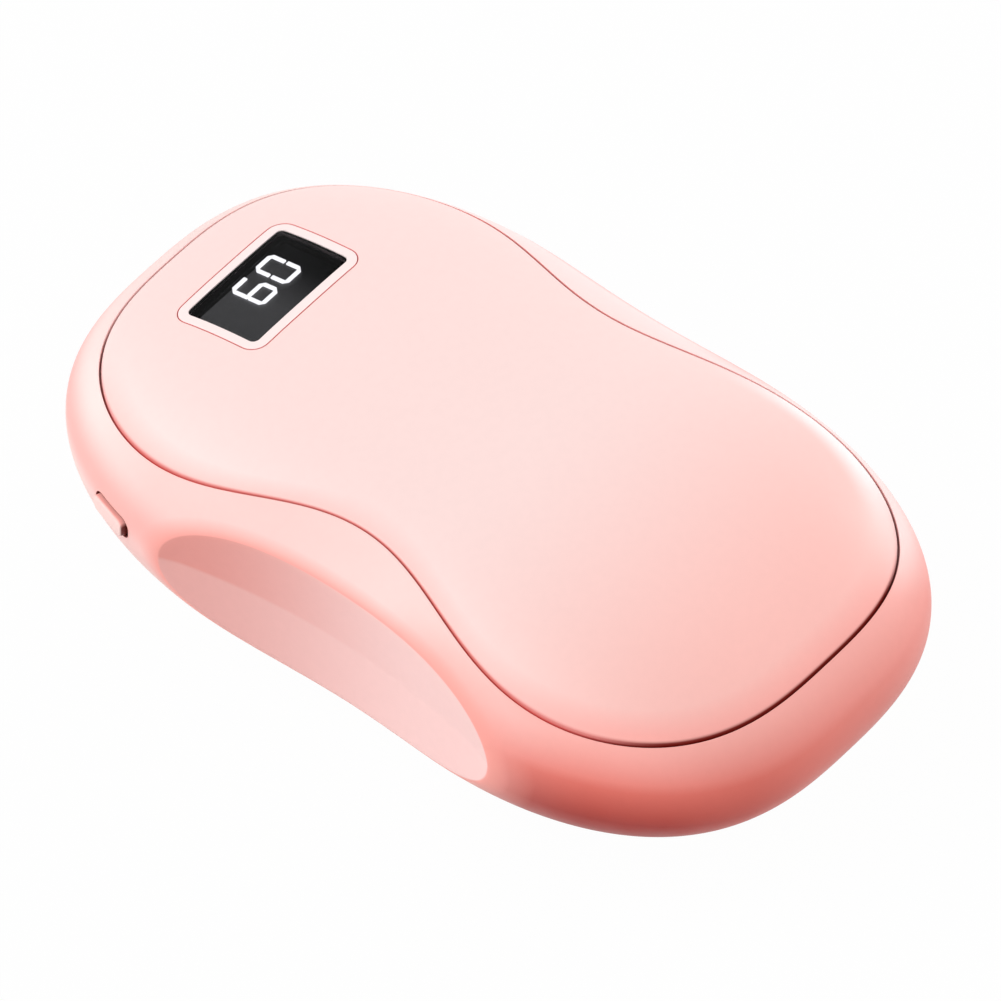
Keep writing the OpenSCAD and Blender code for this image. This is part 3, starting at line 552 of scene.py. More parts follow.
def settled(piece):
    """Turns a piece's modifiers into plain mesh."""
    graph = bpy.context.evaluated_depsgraph_get()
    mesh = bpy.data.meshes.new_from_object(piece.evaluated_get(graph))
    piece.modifiers.clear()
    piece.data = mesh
    mesh.name = piece.name
    return piece


def grown(name, tree, values):
    """A piece made by a Geometry Nodes tree, whose inputs are set by their sockets' identifiers."""
    piece = new_object(name)
    modifier = piece.modifiers.new("Shape", "NODES")
    modifier.node_group = tree
    for item in tree.interface.items_tree:
        if item.item_type == "SOCKET" and item.in_out == "INPUT" and item.name in values:
            modifier[item.identifier] = values[item.name]
    return settled(piece)


def tidied(piece, sharp=35.0):
    """Merges doubles, turns every face outwards and keeps corners above an angle crisp."""
    work = bmesh.new()
    work.from_mesh(piece.data)
    bmesh.ops.remove_doubles(work, verts=work.verts, dist=DOUBLES)
    bmesh.ops.dissolve_degenerate(work, edges=work.edges, dist=DOUBLES / 2)
    bmesh.ops.recalc_face_normals(work, faces=work.faces)
    for face in work.faces:
        face.smooth = True
    work.to_mesh(piece.data)
    work.free()
    piece.data.set_sharp_from_angle(angle=math.radians(sharp))
    return piece


def cut(piece, cutter):
    """Cuts one piece with another, which is then removed."""
    modifier = piece.modifiers.new("Cut", "BOOLEAN")
    modifier.operation, modifier.solver = "DIFFERENCE", "EXACT"
    modifier.material_mode = "TRANSFER"
    modifier.object = cutter
    settled(piece)
    bpy.data.objects.remove(cutter)


def rounded_outline(half_x, half_y, radius, arc=10, side=14):
    """Points round a rectangle with round corners, as many for any size."""
    radius = min(radius, half_x, half_y)
    corners = np.array([(1, 1), (-1, 1), (-1, -1), (1, -1)]) * (half_x - radius, half_y - radius)
    points = []
    for k, centre in enumerate(corners):
        turn = QUARTER * (k + np.linspace(0, 1, arc + 1))
        points.append(centre + radius * np.stack([np.cos(turn), np.sin(turn)], 1))
        way = corners[(k + 1) % 4] - centre
        points.append(points[-1][-1] + way * np.linspace(0, 1, side + 1)[1:-1, None])
    return np.concatenate(points)


def flare(edge, count=5):
    """Steps of a rounded edge: how far it widens, and its depth below the surface."""
    return [(edge * (1 - math.cos(t)), edge * (1 - math.sin(t))) for t in np.linspace(0, QUARTER, count)]


def loft(name, loops, finishes, closed=False, marks=()):
    """Skins a row of loops of points. An open row is closed with a fan at each end.
    A mark gives a finish's number to the rows from one loop to another."""
    loops = np.asarray(loops)
    count, size = loops.shape[:2]
    work = bmesh.new()
    rows = [[work.verts.new(p) for p in loop] for loop in loops]
    for i in range(count if closed else count - 1):
        a, b = rows[i], rows[(i + 1) % count]
        for k in range(size):
            n = (k + 1) % size
            face = work.faces.new((a[k], a[n], b[n], b[k]))
            face.material_index = next((m for low, high, m in marks if low <= i < high), 0)
    if not closed:
        for row, order in ((rows[0], -1), (rows[-1], 1)):
            tip = work.verts.new(sum((v.co for v in row), Vector()) / size)
            for k in range(size):
                work.faces.new((row[k], row[(k + 1) % size], tip)[::order])
    piece = new_object(name)
    work.to_mesh(piece.data)
    work.free()
    for finish in finishes:
        piece.data.materials.append(finish)
    return tidied(piece)


def settings():
    return bpy.context.scene.hand_warmer


def shape():
    """The sizes of every group in one place, as plain numbers."""
    s = settings()
    groups = (s.body, s.seam, s.display, s.button)
    return SimpleNamespace(**{key: getattr(g, key) for g in groups for key in type(g).__annotations__})


def kept(piece, body, slot, *nodes):
    """Parents a finished piece to its body and hides the nodes it stands for. Its finish's slot is not used.
    """
    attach(piece, body)
    if nodes:
        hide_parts(*nodes)


# Materials

def rgba(colour):
    """A colour with its alpha, or a colour's socket as it is."""
    return colour if isinstance(colour, bpy.types.NodeSocket) else (*colour[:3], 1.0)


class Look:
    """A material under construction: one Principled shader and what feeds it."""

    def __init__(self, name, base, roughness, metallic=0.0):
        self.material = bpy.data.materials.new(name)
        self.material.use_nodes = True
        self.tree = self.material.node_tree
        self.base, self.roughness = rgba(base), roughness
        self.material.diffuse_color = self.base
        self.shader = self.tree.nodes["Principled BSDF"]
        self.give({"Base Color": self.base, "Roughness": roughness, "Metallic": metallic})
        self.place = self.add("ShaderNodeTexCoord").outputs["Object"]

    def add(self, kind, inputs=None, **options):
        return added(self.tree, kind, inputs, **options)

    def give(self, inputs):
        """Feeds the shader's inputs."""
        for name, value in inputs.items():
            feed(self.shader.inputs[name], value)
        return self

    def noise(self, scale, detail=3.0, vector=None):
        inputs = {"Vector": vector or self.place, "Scale": scale, "Detail": detail}
        return self.add("ShaderNodeTexNoise", inputs).outputs["Fac"]

    def axes(self):
        return self.add("ShaderNodeSeparateXYZ", {0: self.place}).outputs

    def along(self, direction):
        """How far a point lies along a direction."""
        inputs = {0: self.place, 1: direction}
        return self.add("ShaderNodeVectorMath", inputs, operation="DOT_PRODUCT").outputs["Value"]

    def measure(self, name):
        """A number that is kept on the mesh."""
        return self.add("ShaderNodeAttribute", attribute_name=name).outputs["Fac"]

    def ranged(self, value, low, high, start=0.0, end=1.0, kind="LINEAR"):
        """Maps a value from low..high to start..end."""
        inputs = {"Value": value, "From Min": low, "From Max": high, "To Min": start, "To Max": end}
        return self.add("ShaderNodeMapRange", inputs, interpolation_type=kind).outputs["Result"]

    def ramp(self, value, low, high, start=0.0, end=1.0):
        """Maps a length from low..high, in millimetres, to start..end."""
        return self.ranged(value, low * MM, high * MM, start, end)

    def soft(self, value, low, high, start=0.0, end=1.0):
        """The same, with a soft start and end."""
        return self.ranged(value, low * MM, high * MM, start, end, "SMOOTHSTEP")

    def paired(self, operation, first, second):
        return self.add("ShaderNodeMath", {0: first, 1: second}, operation=operation).outputs[0]

    def times(self, *values):
        """The product of several values."""
        return reduce(partial(self.paired, "MULTIPLY"), values)

    def blended(self, share, first, second, kind="MIX"):
        """Mixes two colours or colour sockets by a share."""
        inputs = {0: share, 6: rgba(first), 7: rgba(second)}
        return self.add("ShaderNodeMix", inputs, data_type="RGBA", blend_type=kind).outputs[2]

    def speckled(self, scale, amount, base=None):
        """Lets the colour vary a little from place to place."""
        base = base or self.base
        darker = self.blended(1.0, base, (1 - amount,) * 3, "MULTIPLY")
        share = self.ranged(self.noise(scale), 0.35, 0.65)
        return self.give({"Base Color": self.blended(share, base, darker)})

    def worn(self, scale, amount):
        """Lets the roughness vary."""
        low, high = self.roughness - amount, self.roughness + amount
        return self.give({"Roughness": self.ranged(self.noise(scale, 4.0), 0.3, 0.7, low, high)})

    def grained(self, scale, distance, strength=0.5, height=None):
        """Gives the surface a fine grain."""
        inputs = {"Strength": strength, "Distance": distance, "Height": height or self.noise(scale, 2.0)}
        return self.give({"Normal": self.add("ShaderNodeBump", inputs).outputs[0]})


def satin(name, tones, base, roughness=0.42):
    """Soft-touch paint: fine-grained and faintly mottled, and even unless given tones, which paint shade and
    highlights into it.
    """
    look = Look(name, base, roughness).give({"IOR": 1.46, "Specular IOR Level": 0.3})
    look.speckled(900.0, 0.012, tones(look) if tones else None)
    look.worn(260.0, 0.035).grained(5200.0, 0.012 * MM, 0.35)
    return look.material


# The painted tones change over stretches in millimetres: across the body, along it and up it, in from a
# cover's side, and out from a scoop's edge. Most of them are painted shade and painted highlights

def far_end(look, start, end):
    """A mask for painted shade: 1 at the far end from the display, but not on top of its corner away from the
    button.
    """
    _, y, _ = look.axes()
    corner = look.along((1.0, 0.0, 1.2))
    return look.times(look.soft(y, start, end), look.soft(corner, 41, 51, 1.0, 0.1))


def faded(look, tone):
    """A seam's painted shade, fading to a paler tone past the display and along the flank away from the
    button.
    """
    x, y, _ = look.axes()
    faint = settings().finish.seam_shade_faint
    near_end = look.times(look.soft(y, 28, 42), look.soft(x, -31, -12))
    far_side = look.times(look.soft(x, 12, 22), look.soft(y, -8, -22, 0.45, 0.85))
    return look.blended(far_side, look.blended(near_end, tone, faint), faint)


def cover_tones(look):
    """Pale by the display. Painted shade makes it warmer towards the other end and at its rims, and draws the
    seam's shade as a line on its edge; a painted highlight lies along its rim at the corner far from the
    button.
    """
    f, rim = settings().finish, look.measure("rim")
    x, y, _ = look.axes()
    # Painted shade: warmer towards the far end
    tone = look.blended(look.soft(y, -3, -55), f.cover_pale, f.cover_end_shade)
    # Painted shade just inside the rim on the button's side
    button_side = look.times(look.soft(x, -14, -24), look.ramp(rim, 3, 0.3, 0.0, 0.75))
    tone = look.blended(button_side, tone, f.cover_edge)
    # Painted shade on the rim at the far end
    end_rim = look.times(far_end(look, -18, -42), look.ramp(rim, 3.2, 0.5))
    tone = look.blended(end_rim, tone, f.cover_rim_shade)
    # Painted highlight along the rim at the corner far from the button
    by_corner = look.times(look.soft(y, -12, -26), look.soft(y, -33, -44, 1.0, 0.2))
    glow = look.times(look.soft(rim, 5, 0.8), look.soft(x, 13, 22), by_corner)
    tone = look.blended(glow, tone, f.cover_highlight)
    # Painted shade: the seam's line drawn on the cover's rounded edge
    line = faded(look, look.blended(far_end(look, -34, -43), f.seam_shade_red, f.seam_shade_dark))
    broad = look.times(look.ramp(rim, 0.19, 0.13), look.ramp(y, 8, -12, 0.0, 0.9))
    tone = look.blended(broad, tone, line)
    return look.blended(look.soft(rim, 0.32, 0.1), tone, line)


def frame_tones(look):
    """Pale by the display, with a painted highlight on its top away from the button. Painted shade gives it a
    coral band by the display and along its top towards a scoop, makes it warmer towards the other end, and
    deeper there to its foot.
    """
    f, end = settings().finish, far_end(look, -4, -39)
    x, y, z = look.axes()
    # Painted shade along the top by the button's side
    ring = look.times(look.soft(x, -16, -26), look.ramp(y, 42, 28), look.ramp(y, 12, -8, 1.0, 0.5))
    top = look.blended(ring, f.frame_pale, f.frame_ring_shade)
    # Painted highlight on the top away from the button
    top = look.blended(look.soft(x, 17, 27), top, f.frame_far_highlight)
    # Painted shade: a coral band at mid height
    band = look.times(look.soft(z, 23.5, 19), look.soft(z, 15, 18.5, 0.2, 1.0))
    pale = look.blended(band, top, f.frame_band_shade)
    # Painted shade: warmer and deeper at the far end
    deep = look.times(look.ramp(z, 24, 19), look.ramp(x, -16, 14, 1.0, 0.45))
    warm = look.blended(deep, f.frame_end_shade, f.frame_end_deep_shade)
    # Painted shade, darkest at the foot of the far end
    foot = look.times(end, look.ramp(z, 20.2, 13.6), look.ramp(x, -24, -8, 1.0, 0.3))
    return look.blended(foot, look.blended(end, pale, warm), f.frame_foot_shade)


def scooped_tones(look):
    """The frame's tones, with painted shade in coral along the edge of a grip scoop, and inside the scoop
    painted light and shade: lit at its far end, shaded by the display, less shaded below its crease.
    """
    f, reach = settings().finish, look.measure("reach")
    _, y, z = look.axes()
    # Painted shade, lighter below the crease
    under_crease = look.ramp(z, 16.4, 15.8)
    dark = look.blended(under_crease, f.scoop_shaded, f.scoop_shaded_low)
    scoop = look.blended(look.soft(y, -14, 24), f.scoop_lit, dark)
    # Painted shade along the scoop's edge, wide towards the display
    wide_rim = look.times(look.ramp(reach, -3, -0.3, 0.0, 0.6), look.soft(y, -4, -16))
    tone = look.blended(wide_rim, frame_tones(look), f.scoop_rim_shade)
    tone = look.blended(look.ramp(reach, -1.3, 0.0, 0.0, 0.9), tone, f.scoop_rim_shade)
    return look.blended(look.ramp(reach, 0.02, 0.12), tone, scoop)


def groove_tones(look):
    """Painted shade in the seam's groove: coral by the display and dark at the other end."""
    f = settings().finish
    return faded(look, look.blended(far_end(look, -30, -43), f.groove_shade_red, f.groove_shade_dark))


def button_tones(look):
    """Pale, with painted shade in coral on its wall, and a painted near-black shade on that wall at the end
    by the scoop.
    """
    s, f = shape(), settings().finish
    origin, out, along = (np.append(axis, 0.0) for axis in button_axes(s))
    face = float(origin @ out) + s.button_proud
    tip = float(origin @ along) + s.button_length / 2
    rise, far = look.along(out), look.along(along)
    wall = look.ranged(rise, face - 0.1 * MM, face - 0.35 * MM)
    at_tip = look.ranged(far, tip - 0.4 * MM, tip - 0.1 * MM)
    shaded = look.times(at_tip, look.ranged(rise, face, face - 0.2 * MM))
    return look.blended(shaded, look.blended(wall, f.button_pale, f.button_wall_shade), f.opening_shade_dark)


def plain_look(name, base, roughness, scale=700.0, amount=0.06, grain=0.01, grain_scale=2500.0):
    look = Look(name, base, roughness)
    look.speckled(scale, amount).worn(scale / 2, min(0.06, roughness / 2))
    return look.grained(grain_scale, grain * MM, 0.4)


def brushed_look(name, base, roughness, stretch):
    """Metal with fine lines along one axis."""
    look = Look(name, base, roughness, 1.0)
    mapping = look.add("ShaderNodeMapping", {"Vector": look.place, "Scale": stretch})
    lines = look.noise(1.0, 3.0, mapping.outputs[0])
    look.give({"Roughness": look.ranged(lines, 0.3, 0.7, roughness * 0.7, roughness * 1.4)})
    return look.grained(1.0, 0.004 * MM, 0.4, lines)


def board_look():
    """Solder mask over copper tracks."""
    look = Look("board_green", (0.02, 0.17, 0.08), 0.35)
    tracks = look.add("ShaderNodeTexBrick", {
        "Vector": look.place, "Scale": 300.0, "Color1": (0.02, 0.16, 0.07, 1),
        "Color2": (0.025, 0.2, 0.09, 1), "Mortar": (0.05, 0.3, 0.14, 1),
    })
    look.give({"Base Color": tracks.outputs["Color"]})
    return look.grained(900.0, 0.02 * MM, 0.4, tracks.outputs["Fac"])


def smoked_look():
    """Polished smoked acrylic, seen through only where light is behind it."""
    look = Look("smoked_window", (0.2, 0.2, 0.21), 0.05)
    look.give({"Transmission Weight": 1.0, "IOR": 1.12})
    return look.worn(180.0, 0.02).grained(1500.0, 0.001 * MM, 0.2)


def lit_look():
    """The digits' own white light."""
    f = settings().finish
    look = Look("digit_white", f.digit_light, 0.5).speckled(2500.0, 0.04)
    return look.give({"Emission Color": rgba(f.digit_light), "Emission Strength": f.digit_strength})


def mask_look():
    """The display's black face, with its mask's fine dots, a glow about the digits, and a painted reflection:
    it glows more towards its side by the button.
    """
    look = Look("display_mask", (0.012, 0.012, 0.014), 0.4)
    dots = look.add("ShaderNodeTexVoronoi", {"Vector": look.place, "Scale": 4200.0}).outputs["Distance"]
    low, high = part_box("display_digits")
    x, _, _ = look.axes()
    # Painted reflection: the mask's glow rises towards its side by the button
    haze = look.ranged(x, high.x + 1 * MM, low.x, kind="SMOOTHSTEP")
    away = look.add("ShaderNodeVectorMath", {0: look.place, 1: (low + high) / 2}, operation="DISTANCE")
    halo = look.soft(away.outputs["Value"], 4.6, 2, 0.0, 0.8)
    glow = look.times(look.paired("MAXIMUM", haze, halo), look.ranged(dots, 0.2, 0.5, 1.0, 0.75))
    look.give({
        "Base Color": look.blended(look.ranged(dots, 0.2, 0.5), (0.022, 0.022, 0.026), look.base),
        "Emission Color": look.blended(glow, (0, 0, 0), (1, 1, 1)),
        "Emission Strength": settings().finish.reflection_haze_strength,
    })
    return look.grained(2400.0, 0.01 * MM)


def heater_look():
    """Amber film over a winding copper track."""
    look = Look("heater_film", (0.55, 0.26, 0.06), 0.3)
    wave = look.add("ShaderNodeTexWave", {"Vector": look.place, "Scale": 260.0, "Distortion": 0.0})
    share = look.ranged(wave.outputs["Fac"], 0.45, 0.55)
    look.give({"Base Color": look.blended(share, (0.5, 0.2, 0.04), (0.72, 0.36, 0.16))})
    return look.grained(260.0, 0.05 * MM, 0.5, wave.outputs["Fac"])


def hidden_looks():
    """Finishes of the parts inside, by material slot, and by node where one differs from its slot."""
    plain = {
        "black_tape": ((0.01, 0.01, 0.011), 0.6, {}),
        "black_plastic": ((0.02, 0.02, 0.022), 0.4, {}),
        "ceramic": ((0.42, 0.28, 0.16), 0.35, {}),
        "ferrite": ((0.03, 0.03, 0.033), 0.7, {"amount": 0.3, "grain": 0.04}),
        "socket_white": ((0.8, 0.77, 0.68), 0.4, {}),
        "plunger_white": ((0.75, 0.73, 0.66), 0.45, {}),
        "tray_white": ((0.78, 0.76, 0.72), 0.5, {"grain": 0.02}),
        "cell_wrap": ((0.05, 0.2, 0.5), 0.28, {}),
        "foam": ((0.55, 0.55, 0.54), 0.95, {"amount": 0.25, "grain": 0.3, "grain_scale": 1400.0}),
        "lead_red": ((0.5, 0.02, 0.015), 0.4, {}),
        "lead_black": ((0.012, 0.012, 0.012), 0.4, {}),
        "bead_black": ((0.015, 0.014, 0.013), 0.25, {}),
    }
    upright, lengthwise = (3000.0, 3000.0, 300.0), (4000.0, 40.0, 4000.0)
    brushed = {
        "zinc_steel": ((0.62, 0.62, 0.6), 0.3, upright),
        "nickel": ((0.66, 0.63, 0.58), 0.25, lengthwise),
        "gold_pin": ((0.85, 0.62, 0.25), 0.2, upright),
        "spreader": ((0.8, 0.8, 0.81), 0.35, lengthwise),
    }
    looks = {name: plain_look(name, base, rough, **more) for name, (base, rough, more) in plain.items()}
    looks |= {name: brushed_look(name, *finish) for name, finish in brushed.items()}
    looks |= {"digit_white": lit_look(), "display_housing": mask_look()}
    return looks | {"board_green": board_look(), "heater_film": heater_look()}


# Operators

class WARMER_OT_covers(bpy.types.Operator):
    """Build the two crowned covers and cut the top one for the display"""

    bl_idname = "hand_warmer.covers"
    bl_label = "Covers"

    def execute(self, context):
        s, f = shape(), settings().finish
        top = satin("cover_pink", cover_tones, f.cover_pale)
        # The bottom panel takes the frame's tones, with their painted shade
        low = satin("under_pink", frame_tones, f.frame_pale)
        # Painted shade in the groove's faces of both covers
        dark = satin("groove_shade", groove_tones, f.groove_shade_red, 0.6)
        # Painted shade on the cover's wall cut round the bezel
        line = satin("line_shade", None, f.line_shade, 0.6)
        for name, side, finish, slot, node in (
            ("top_panel", 1.0, top, "cover_pink", "top_cover"),
            ("bottom_panel", -1.0, low, "frame_pink", "bottom_cover"),
        ):
            tree, values = skin_tree(
                name, cover_surface, "rim", COVER_COLUMNS, COVER_ROWS, COVER_GROOVE,
                extra=[("side", "Side", side)],
            )
            panel = grown(name, tree, {**values, "Finish": finish, "Groove finish": dark})
            if side > 0:
                cut(panel, bezel_cutter(s, line))
            kept(tidied(panel), "case", slot, node)
        return {"FINISHED"}


def on_crown(s, outline, depth):
    """Puts an outline round the window's centre on the crowned face, or so far below it."""
    x, y = outline[:, 0], outline[:, 1] + s.body_length / 2 - s.window_end
    return np.stack([x, y, middle(s) + crown(s, x, y) - depth], 1)


def window_outline(s, grow):
    half_x, half_y = s.window_width / 2, s.window_height / 2
    return rounded_outline(half_x + grow, half_y + grow, s.window_corner + grow)


def bezel_cutter(s, finish):
    """A column round the bezel whose top flares out to round the cover's edge."""
    grow, through, over = s.bezel_border + s.bezel_line, 3.2 * MM, -1 * MM
    rows = [(0.0, through)] + flare(s.bezel_edge) + [(s.bezel_edge, over)]
    return loft("bezel_cutter", [on_crown(s, window_outline(s, grow + g), d) for g, d in rows], [finish])


class WARMER_OT_frame(bpy.types.Operator):
    """Build the side frame with its grip scoops, and cut the button's and the port's openings"""

    bl_idname = "hand_warmer.frame"
    bl_label = "Side frame"

    def execute(self, context):
        s, f = shape(), settings().finish
        # The frame's tones carry painted light and shade
        pink = satin("frame_pink", scooped_tones, f.frame_pale)
        # Painted shade in the frame's side of the seam's groove
        dark = satin("frame_groove", groove_tones, f.groove_shade_red, 0.6)
        # Painted shade: a near-black finish inside the button's and port's openings
        shade = satin("opening_shade", None, f.opening_shade_dark, 0.6)
        tree, values = skin_tree(
            "side_frame", frame_surface, "reach", FRAME_COLUMNS, FRAME_ROWS, FRAME_GROOVE, mirrored=True
        )
        ring = grown("side_frame", tree, {**values, "Finish": pink, "Groove finish": dark})
        for cutter in (button_cutter(s, shade), port_cutter(s, shade)):
            cut(ring, cutter)
        kept(tidied(ring), "case", "frame_pink", "mid_frame")
        return {"FINISHED"}


def button_axes(s):
    """Origin and directions of the button: out of the flank, and along it."""
    y, step = s.body_length / 2 - s.button_end, s.button_length / 4
    slope = (side_x(s, y - step, 0.0) - side_x(s, y + step, 0.0)) / (2 * step)
    angle = math.pi - math.atan(slope)
    out = np.array([math.cos(angle), math.sin(angle)])
    return np.array([-side_x(s, y, 0.0), y]), out, np.array([-out[1], out[0]])


def on_flank(s, outline, out_by, follow):
    """Puts an outline (height, length) on the button's axes, so far out of a plane or of the flank itself."""
    origin, out, along = button_axes(s)
    high, far = outline[:, 0], outline[:, 1]
    reach = np.zeros(len(outline))
    for _ in range(5):
        spot = origin + reach[:, None] * out + far[:, None] * along
        reach = reach + (-side_x(s, spot[:, 1], high) - spot[:, 0]) / out[0]
    spot = origin + (out_by + follow * reach)[:, None] * out + far[:, None] * along
    return np.column_stack([spot, middle(s) + high])


def small_outline(half_x, half_y, radius):
    return rounded_outline(half_x, half_y, radius, arc=8, side=10)


def bar_outline(s, grow):
    return small_outline(s.button_height / 2 + grow, s.button_length / 2 + grow, s.button_corner + grow)


def button_cutter(s, finish):
    """The button's opening, with a wider pocket behind the wall and a rounded mouth."""
    pocket, inward, over = 1.5 * MM, -6 * MM, 1 * MM
    rows = [(pocket, inward, 0.0), (pocket, -s.wall, 0.0), (s.button_gap, -s.wall + DOUBLES, 0.0)]
    rows += [(s.button_gap + g, -d, 1.0) for g, d in flare(s.mouth_edge)]
    rows += [(s.button_gap + s.mouth_edge, over, 1.0)]
    loops = []
    for grow, out_by, follow in rows:
        outline = bar_outline(s, grow)
        outline[:, 1] += np.maximum(outline[:, 1], 0) / (s.button_length / 2) * s.button_slack
        loops.append(on_flank(s, outline, out_by, follow))
    return loft("button_cutter", loops, [finish])


def port_cutter(s, finish):
    """The port's opening, round its shell, with a rounded mouth."""
    low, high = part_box("port_shell")
    half_x, half_z, centre = (high.x - low.x) / 2, (high.z - low.z) / 2, (low.z + high.z) / 2
    inward, over = 8 * MM, -1 * MM
    loops = []
    for more, depth in [(0.0, inward)] + flare(s.mouth_edge) + [(s.mouth_edge, over)]:
        grow = s.port_gap + more
        outline = small_outline(half_x + grow, half_z + grow, s.port_corner + grow)
        x, z = outline[:, 0], outline[:, 1] + centre
        loops.append(np.stack([x, end_y(s, x, z - middle(s)) - depth, z], 1))
    return loft("port_cutter", loops, [finish])


class WARMER_OT_display(bpy.types.Operator):
    """Build the bezel and the smoked window over the digits"""

    bl_idname = "hand_warmer.display"
    bl_label = "Display"

    def execute(self, context):
        s, f = shape(), settings().finish
        pale = satin("bezel_pink", None, f.bezel_pale)
        black = plain_look("bezel_back", (0.012, 0.011, 0.011), 0.6).material
        # Painted shade in the bezel's fine groove
        line = satin("bezel_line", None, f.line_shade, 0.6)
        bezel = loft("window_bezel", bezel_loops(s), [pale, black, line], closed=True, marks=BEZEL_MARKS)
        kept(bezel, "case", "bezel_pink", "display_bezel")
        window = loft("smoked_window", window_loops(s), [smoked_look().material])
        kept(window, "case", "smoked_window", "display_window")
        return {"FINISHED"}


# The bezel's rows in the window's recess are black, and those in its fine groove carry painted shade in coral
BEZEL_MARKS = ((7, 10, 1), (1, 4, 2))


def bezel_loops(s):
    """The bezel from its outer edge, down its side, round its flange and lip, and back up by the window."""
    rim = flare(s.bezel_edge, 4)
    tape_room = 4 * s.fit + 0.05 * MM
    seat = s.window_drop + s.window_thickness + tape_room
    border, flange = s.bezel_border, s.bezel_border + s.flange_width
    shelf, back = s.cover_thickness + s.fit, s.bezel_depth + 5 * s.fit
    rows = [(border - d, g) for g, d in rim]
    rows += [(border, shelf), (flange, shelf), (flange, back), (border, back)]
    rows += [(-s.lip_width, s.bezel_depth), (-s.lip_width, seat), (s.fit, seat)]
    rows += [(s.fit + g, d) for g, d in rim]
    inner, outer = s.fit + s.bezel_edge, border - s.bezel_edge
    rows += [(mix(inner, outer, share), 0.0) for share in (0.25, 0.5, 0.75)]
    return [on_crown(s, window_outline(s, g), d) for g, d in rows]


def window_loops(s):
    """The window from the middle of its back, round its edge, to the middle of its face."""
    outline, edge = window_outline(s, 0.0), flare(s.window_edge, 4)
    top, bottom = s.window_drop, s.window_drop + s.window_thickness
    shares = (0.02, 0.2, 0.4, 0.6, 0.8, 0.92)
    loops = [on_crown(s, outline * share, bottom) for share in shares]
    loops += [on_crown(s, window_outline(s, -d), bottom - g) for g, d in edge]
    loops += [on_crown(s, window_outline(s, -d), top + g) for g, d in reversed(edge)]
    return loops + [on_crown(s, outline * share, top) for share in reversed(shares)]


class WARMER_OT_button(bpy.types.Operator):
    """Build the side button with its flange and stem"""

    bl_idname = "hand_warmer.button"
    bl_label = "Button"

    def execute(self, context):
        s = shape()
        # The button's tones paint shade on its wall
        pink = satin("button_pink", button_tones, settings().finish.button_pale)
        loops = []
        for outline, out_by in button_rows(s):
            sag = (outline[:, 0] / (s.button_height / 2)) ** 2 + (outline[:, 1] / (s.button_length / 2)) ** 2
            dome = s.button_dome * sag / 2 if out_by > 0 else 0.0 * sag
            loops.append(on_flank(s, outline, out_by - dome, 0.0))
        kept(loft("side_button", loops, [pink]), "button", "frame_pink", "power_button")
        return {"FINISHED"}


def button_rows(s):
    """The button's outlines, each with its place out of the flank: stem, flange, wall, edge and face."""
    flange, stem, stem_radius, chamfer = 0.8 * MM, 1.2 * MM, 1 * MM, 0.1 * MM
    front = -s.wall - s.fit
    back = front - flange
    end = back - stem
    post = small_outline(stem_radius, stem_radius, stem_radius)
    collar = bar_outline(s, 1 * MM)
    rows = [(post * 0.3, end), (post * 0.9, end), (post, end + chamfer), (post, back)]
    rows += [(collar * 0.98, back), (collar, back + flange * 0.1), (collar, front)]
    rows += [(bar_outline(s, 0.0), front)]
    rows += [(bar_outline(s, -g), s.button_proud - d) for g, d in flare(s.button_edge, 7)]
    face = bar_outline(s, -s.button_edge)
    return rows + [(face * share, s.button_proud) for share in (0.8, 0.55, 0.3, 0.08)]


class WARMER_OT_port(bpy.types.Operator):
    """Lay the gold contacts on the charging port's tongue"""

    bl_idname = "hand_warmer.port"
    bl_label = "Port contacts"

    def execute(self, context):
        _, tongue_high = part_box("port_tongue")
        shell_low, shell_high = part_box("port_shell")
        tree = bpy.data.node_groups.new("port_contacts", "GeometryNodeTree")
        sizes, values = named_inputs(tree, (settings().button,), [
            ("front", "Tongue front", tongue_high.y),
            ("centre", "Tongue height", (shell_low.z + shell_high.z) / 2),
            ("half", "Tongue half", 0.35 * MM),
            ("rise", "Contact rise", 0.03 * MM),
            ("inset", "Contact inset", 0.25 * MM),
        ])
        (gold,) = finish_inputs(tree, "Finish")
        first_x = sizes.contact_pitch * ((1 - CONTACTS) / 2)
        first_y = sizes.front - sizes.contact_length / 2 - sizes.inset
        step = combined(tree, sizes.contact_pitch)
        size = combined(tree, sizes.contact_width, sizes.contact_length, sizes.rise)
        pad = added(tree, "GeometryNodeMeshCylinder", {"Vertices": 12, "Radius": 0.5, "Depth": 1.0})
        join = tree.nodes.new("GeometryNodeJoinGeometry")
        for side in (1, -1):
            start = combined(tree, first_x, first_y, sizes.centre + sizes.half * side)
            spots = {"Count": CONTACTS, "Start Location": start, "Offset": step}
            line = added(tree, "GeometryNodeMeshLine", spots).outputs[0]
            pads = {"Instance": pad.outputs["Mesh"], "Scale": size}
            feed(join.inputs[0], chained(line, "GeometryNodeInstanceOnPoints", pads))
        ended(join.outputs[0], gold)
        look = brushed_look("contact_gold", (0.9, 0.66, 0.28), 0.2, (9000.0, 900.0, 9000.0))
        values["Finish"] = look.material
        kept(tidied(grown("port_contacts", tree, values)), "case", "gold_pin")
        return {"FINISHED"}


CONTACTS = 12


class WARMER_OT_inside(bpy.types.Operator):
    """Give every carried-over part of the frame its own finish"""

    bl_idname = "hand_warmer.inside"
    bl_label = "Inner parts"

    def execute(self, context):
        looks = hidden_looks()
        slots = {part["node"]: part["material_slot"] for part in frame["record"]["subparts"]}
        for name, node in frame["nodes"].items():
            if not node.hide_render:
                node.data.materials.clear()
                node.data.materials.append(looks.get(name, looks[slots[name]]).material)
        return {"FINISHED"}


